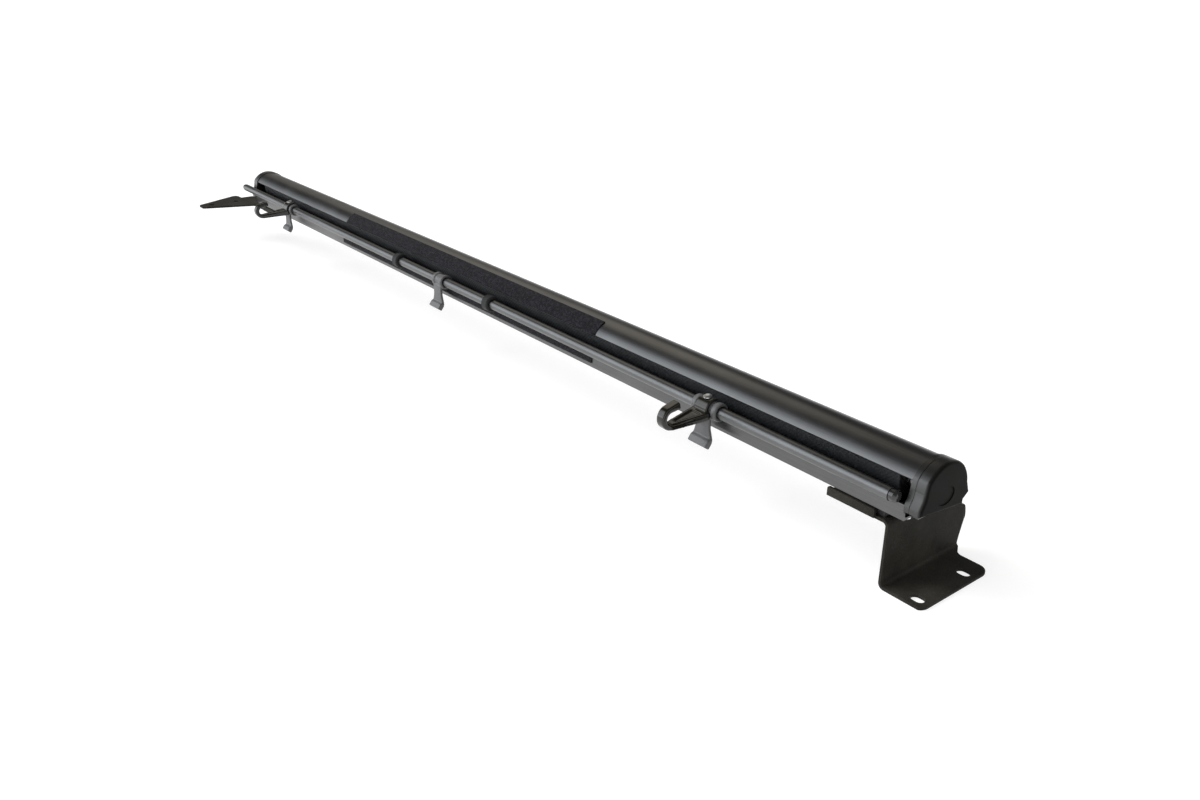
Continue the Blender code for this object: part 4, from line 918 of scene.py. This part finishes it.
class CARGOBAR_OT_loop_strips(Operator):
    """Lay the two loop strips: a woven backing with a pile of small thread loops"""

    bl_idname = "cargo_bar.loop_strips"
    bl_label = "Loop strips"

    def execute(self, context):
        tree = loop_pile_tree()
        self.hood_strip(tree)
        self.lip_strip(tree)
        return {"FINISHED"}

    def pile_piece(self, name, tree, surface):
        """The pile on one strip."""
        values = {
            "Loop Radius": sizes().loop_radius,
            "Thread Radius": sizes().loop_thread,
            "Material": finish("loop_fabric"),
        }
        place_piece(run_tree(name, surface, tree, values), "housing", "loop_fabric")

    def hood_strip(self, tree):
        """The strip that follows the hood's curve, from its node's radii and angles about the hood's centre."""
        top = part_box("hood")[1]
        centre = (top.y - sizes().hood_radius, top.z - sizes().hood_radius)
        offsets = [(v.co.y - centre[0], v.co.z - centre[1]) for v in NODES["hood_loop_strip"].data.vertices]
        radii = [math.hypot(y, z) for y, z in offsets]
        angles = [math.atan2(z, y) for y, z in offsets]
        inner, outer, first, last = min(radii), max(radii), min(angles), max(angles) + sizes().strip_wrap
        low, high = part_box("hood_loop_strip")
        backing = inner + sizes().strip_backing

        def point(radius, share):
            angle = first + (last - first) * share
            return Vector((0, centre[0] + radius * math.cos(angle), centre[1] + radius * math.sin(angle)))

        shares = [index / ARC_STEPS for index in range(ARC_STEPS + 1)]
        outline = [point(backing, share) for share in shares]
        outline += [point(inner, share) for share in reversed(shares)]
        section = [(place.y, place.z) for place in outline]
        backing_piece("hood_strip_backing", section, low.x, high.x, "hood_loop_strip")
        stand = backing + sizes().loop_radius / 2
        margin = sizes().strip_margin

        def across(share):
            return point(stand, margin + (1 - 2 * margin) * share)

        surface = strip_surface("hood_strip_pile", low.x, high.x, across, (last - first) * outer)
        self.pile_piece("hood_strip_pile", tree, surface)

    def lip_strip(self, tree):
        """The flat strip on the rail's front face."""
        low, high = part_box("lip_loop_strip")
        front = high.y - sizes().strip_backing
        section = [(front, low.z), (high.y, low.z), (high.y, high.z), (front, high.z)]
        backing_piece("lip_strip_backing", section, low.x, high.x, "lip_loop_strip")
        stand = front - sizes().loop_radius / 2
        margin = sizes().loop_radius

        def across(share):
            return Vector((0, stand, high.z - margin - (high.z - low.z - 2 * margin) * share))

        surface = strip_surface("lip_strip_pile", low.x, high.x, across, high.z - low.z)
        self.pile_piece("lip_strip_pile", tree, surface)


def fastener_tree():
    """A fastener on every point: a head with a sunk drive, and a plain shank behind it."""
    lengths = ("Head Radius", "Head Height", "Shank Radius", "Shank Length", "Drive Radius")
    inputs = {**dict.fromkeys(lengths, "Float"), "Drive Sides": "Int", "Turn": "Vector"}
    tree, start, end = new_tree("fastener_set", inputs)

    def cylinder(radius, depth, sides, height):
        """A cylinder whose middle stands at a height."""
        made = add_node(tree, "GeometryNodeMeshCylinder", {"Vertices": sides, "Radius": radius, "Depth": depth})
        offset = add_node(tree, "ShaderNodeCombineXYZ", {"Z": height}).outputs[0]
        place = {"Geometry": made.outputs["Mesh"], "Translation": offset}
        return add_node(tree, "GeometryNodeTransform", place).outputs["Geometry"]

    tall, long = start["Head Height"], start["Shank Length"]
    head = cylinder(start["Head Radius"], tall, HEAD_SIDES, math_node(tree, "MULTIPLY", tall, 0.5))
    drive = cylinder(start["Drive Radius"], tall, start["Drive Sides"], tall)
    sunk = add_node(tree, "GeometryNodeMeshBoolean", {"Mesh 1": head, "Mesh 2": drive}, operation="DIFFERENCE")
    shank = cylinder(start["Shank Radius"], long, SHANK_SIDES, math_node(tree, "MULTIPLY", long, -0.5))
    whole = add_node(tree, "GeometryNodeJoinGeometry")
    tree.links.new(sunk.outputs["Mesh"], whole.inputs[0])
    tree.links.new(shank, whole.inputs[0])
    turn = add_node(tree, "FunctionNodeEulerToRotation", {0: start["Turn"]}).outputs[0]
    points = {"Points": start["Geometry"], "Instance": whole.outputs[0], "Rotation": turn}
    stand = add_node(tree, "GeometryNodeInstanceOnPoints", points)
    return close_tree(tree, stand.outputs["Instances"], start, end)


class CARGOBAR_OT_fasteners(Operator):
    """Set the bolts and screws, each with its socket"""

    bl_idname = "cargo_bar.fasteners"
    bl_label = "Fasteners"

    def execute(self, context):
        size = sizes()
        tree = fastener_tree()
        bolts = [f"{side}_bolt_{place}" for side in SIDES for place in ("inner", "outer")]
        screws = [f"{side}_cap_screw_{place}" for side in SIDES for place in ("front", "back")]
        heads = (size.bolt_head, size.bolt_head)
        self.set_down(tree, "bracket_bolts", bolts, heads, size.bolt_shank, HEX_SIDES, size.hex_share)
        heads = (size.screw_seat, size.screw_head)
        self.set_down(tree, "cap_screws", screws, heads, size.screw_shank, CROSS_SIDES, size.cross_share)
        for side in SIDES:
            smooth_copy(f"hook_screw_{side}", f"hook_screw_{side}_button")
        return {"FINISHED"}

    def set_down(self, tree, name, nodes, heads, shank_radius, drive_sides, drive_share):
        """Fasteners that point down, read from their nodes; heads holds a head's height there and as made."""
        boxes = [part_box(node) for node in nodes]
        low, high = boxes[0]
        node_height, head_height = heads
        seat = low.z + node_height
        mesh = bpy.data.meshes.new(name)
        mesh.from_pydata([((a.x + b.x) / 2, (a.y + b.y) / 2, seat) for a, b in boxes], [], [])
        head_radius = (high.x - low.x) / 2
        values = {
            "Head Radius": head_radius,
            "Head Height": head_height,
            "Shank Radius": shank_radius,
            "Shank Length": high.z - seat,
            "Drive Radius": head_radius * drive_share,
            "Drive Sides": drive_sides,
            "Turn": (math.pi, 0.0, 0.0),
            "Material": finish("steel"),
        }
        piece = run_tree(name, mesh, tree, values)
        shade_by_angle(piece.data)
        place_piece(piece, "housing", "steel", *nodes)


# The stage

FLOOR_GAP = 0.0001
FLOOR_GLOW = 1.25
FLOOR_GLOW_SHARE = 0.55

# The studio's wall: its dim and its pale level, and the directions over which it goes from dim to pale
WALL_LEVELS = (0.07, 0.95)
WALL_RIGHT = (-0.45, -0.20)
WALL_HEIGHT = (0.60, 0.30)
LOW_WALL_HEIGHT = (0.22, 0.08)
LOW_WALL_SHARE = 0.6

# The soft panels: middle, cosine at the edge, cosine at the core, colour
FRONT_PANEL = ((-0.62, -0.70, 0.30), 0.80, 0.975, (2.33, 2.45, 2.55))
BACK_PANEL = ((-0.725, 0.30, 0.62), 0.93, 0.99, (0.90, 0.84, 0.72))

# The lamps: where each stands, and its strength
LAMPS = {"key": ((-0.70, -0.50, 0.55), 3.0), "top": ((0.42, -0.16, 0.88), 1.1)}
LAMP_SPREAD = math.radians(50)

# The camera, from the rail's lower front corner at the right end
CAMERA_OFFSET = Vector((0.4052, -0.6140, 0.4143))
CAMERA_FORWARD = Vector((-0.72516, 0.55658, -0.40543))


class CARGOBAR_OT_stage(Operator):
    """Set the pale floor, the soft lamps and the camera at the photograph's angle"""

    bl_idname = "cargo_bar.stage"
    bl_label = "Stage"

    floor_half: length_property("Floor half width", "Half the width of the floor", 60.0)
    lens: FloatProperty(name="Lens", description="Focal length on a 36 mm frame", default=30.317)

    def execute(self, context):
        context.scene.view_settings.view_transform = "Standard"
        self.floor()
        self.world()
        self.lamps()
        self.camera()
        return {"FINISHED"}

    def floor(self):
        """A wide pale floor, a hair below the foot."""
        half, height = self.floor_half, CAD_BOX[0][2] - FLOOR_GAP
        mesh = bpy.data.meshes.new("floor")
        corners = [(-half, -half), (half, -half), (half, half), (-half, half)]
        mesh.from_pydata([(x, y, height) for x, y in corners], [], [(0, 1, 2, 3)])
        made, tree, shader, place = new_material("floor", roughness=0.85, specular=0.1)
        clouds = noise(tree, place, scale=3.0, detail=3.0)
        tint(tree, shader, clouds, colours().floor, darkest=0.99, palest=1.01)
        rays = add_node(tree, "ShaderNodeLightPath").outputs
        seen = math_node(tree, "MAXIMUM", rays["Is Camera Ray"], rays["Is Glossy Ray"])
        seen = math_node(tree, "MAXIMUM", seen, rays["Is Transmission Ray"])
        glow = add_node(tree, "ShaderNodeEmission", {"Strength": FLOOR_GLOW}).outputs[0]
        share = math_node(tree, "MULTIPLY", seen, FLOOR_GLOW_SHARE)
        blend = add_node(tree, "ShaderNodeMixShader", {0: share, 1: shader.outputs[0], 2: glow})
        tree.links.new(blend.outputs[0], tree.nodes["Material Output"].inputs["Surface"])
        new_piece("floor", mesh, made)

    def world(self):
        """A dim studio with a pale wall, a broad panel to the front left and a smaller one to the back left."""
        world = bpy.data.worlds.new("studio")
        world.use_nodes = True
        tree = world.node_tree
        direction = add_node(tree, "ShaderNodeTexCoord").outputs["Generated"]
        lit = self.wall(tree, direction)
        for panel in (FRONT_PANEL, BACK_PANEL):
            lit = vector_node(tree, "ADD", lit, self.panel(tree, direction, *panel)).outputs[0]
        tree.links.new(lit, tree.nodes["Background"].inputs["Color"])
        bpy.context.scene.world = world

    def wall(self, tree, direction):
        """A pale wall round the front, right and back, and a lower, greyer one to the left."""
        split = split_vector(tree, direction)
        ramps = (("X", WALL_RIGHT), ("Z", WALL_HEIGHT), ("Z", LOW_WALL_HEIGHT))
        right, tall, low = (map_range(tree, split[axis], ramp, kind="SMOOTHSTEP") for axis, ramp in ramps)
        high_wall = math_node(tree, "MULTIPLY", right, tall)
        low_wall = math_node(tree, "MULTIPLY", low, LOW_WALL_SHARE)
        return map_range(tree, math_node(tree, "MAXIMUM", high_wall, low_wall), target=WALL_LEVELS)

    def panel(self, tree, direction, middle, edge, core, colour):
        """A soft panel of light: full colour where the direction is within the core, none beyond the edge."""
        facing = vector_node(tree, "DOT_PRODUCT", direction, Vector(middle).normalized()).outputs["Value"]
        lit = vector_node(tree, "SCALE", colour)
        tree.links.new(map_range(tree, facing, (edge, core), kind="SMOOTHSTEP"), lit.inputs["Scale"])
        return lit.outputs[0]

    def lamps(self):
        """A soft key lamp from the front left and a weak one from above: wide suns, kept out of reflections."""
        for name, (direction, strength) in LAMPS.items():
            lamp = bpy.data.lights.new(name, "SUN")
            lamp.energy = strength
            lamp.angle = LAMP_SPREAD
            holder = add_object(name, lamp)
            holder.rotation_euler = Vector(direction).to_track_quat("Z", "Y").to_euler()
            holder.visible_glossy = False

    def camera(self):
        """The camera stands beyond the right end, in front of the bar and above it."""
        low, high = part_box("rail")
        camera = add_object("camera", bpy.data.cameras.new("camera"))
        camera.data.lens = self.lens
        camera.data.sensor_width = 36.0
        camera.location = Vector((high.x, low.y, low.z)) + CAMERA_OFFSET
        camera.rotation_euler = CAMERA_FORWARD.to_track_quat("-Z", "Y").to_euler()
        bpy.context.scene.camera = camera


# In the order in which they are called
OPERATORS = (
    CARGOBAR_OT_stage,
    CARGOBAR_OT_extrusions,
    CARGOBAR_OT_end_caps,
    CARGOBAR_OT_brackets,
    CARGOBAR_OT_roller_parts,
    CARGOBAR_OT_screen,
    CARGOBAR_OT_tube_fittings,
    CARGOBAR_OT_hooks,
    CARGOBAR_OT_loop_strips,
    CARGOBAR_OT_fasteners,
)


class CARGOBAR_PT_panel(Panel):
    """Lists the steps that build the bar"""

    bl_idname = "CARGOBAR_PT_panel"
    bl_label = "Cargo Bar"
    bl_space_type = "VIEW_3D"
    bl_region_type = "UI"
    bl_category = "Cargo Bar"

    def draw(self, context):
        column = self.layout.column()
        for operator in OPERATORS:
            column.operator(operator.bl_idname)
        for settings in (context.scene.cargo_bar_sizes, context.scene.cargo_bar_colours):
            for name in settings.bl_rna.properties.keys():
                if name not in ("rna_type", "name"):
                    column.prop(settings, name)


CLASSES = (CargoBarSizes, CargoBarColours, *OPERATORS, CARGOBAR_PT_panel)


def register():
    """Registers the classes and the scene's settings."""
    for item in CLASSES:
        bpy.utils.register_class(item)
    bpy.types.Scene.cargo_bar_sizes = PointerProperty(type=CargoBarSizes)
    bpy.types.Scene.cargo_bar_colours = PointerProperty(type=CargoBarColours)


def unregister():
    """Takes the settings and the classes away again."""
    del bpy.types.Scene.cargo_bar_colours
    del bpy.types.Scene.cargo_bar_sizes
    for item in reversed(CLASSES):
        bpy.utils.unregister_class(item)


def main():
    """Builds everything in order."""
    register()
    bpy.ops.cargo_bar.stage()
    bpy.ops.cargo_bar.extrusions()
    bpy.ops.cargo_bar.end_caps()
    bpy.ops.cargo_bar.brackets()
    bpy.ops.cargo_bar.roller_parts()
    bpy.ops.cargo_bar.screen()
    bpy.ops.cargo_bar.tube_fittings()
    bpy.ops.cargo_bar.hooks()
    bpy.ops.cargo_bar.loop_strips()
    bpy.ops.cargo_bar.fasteners()


if __name__ == "__main__":
    main()
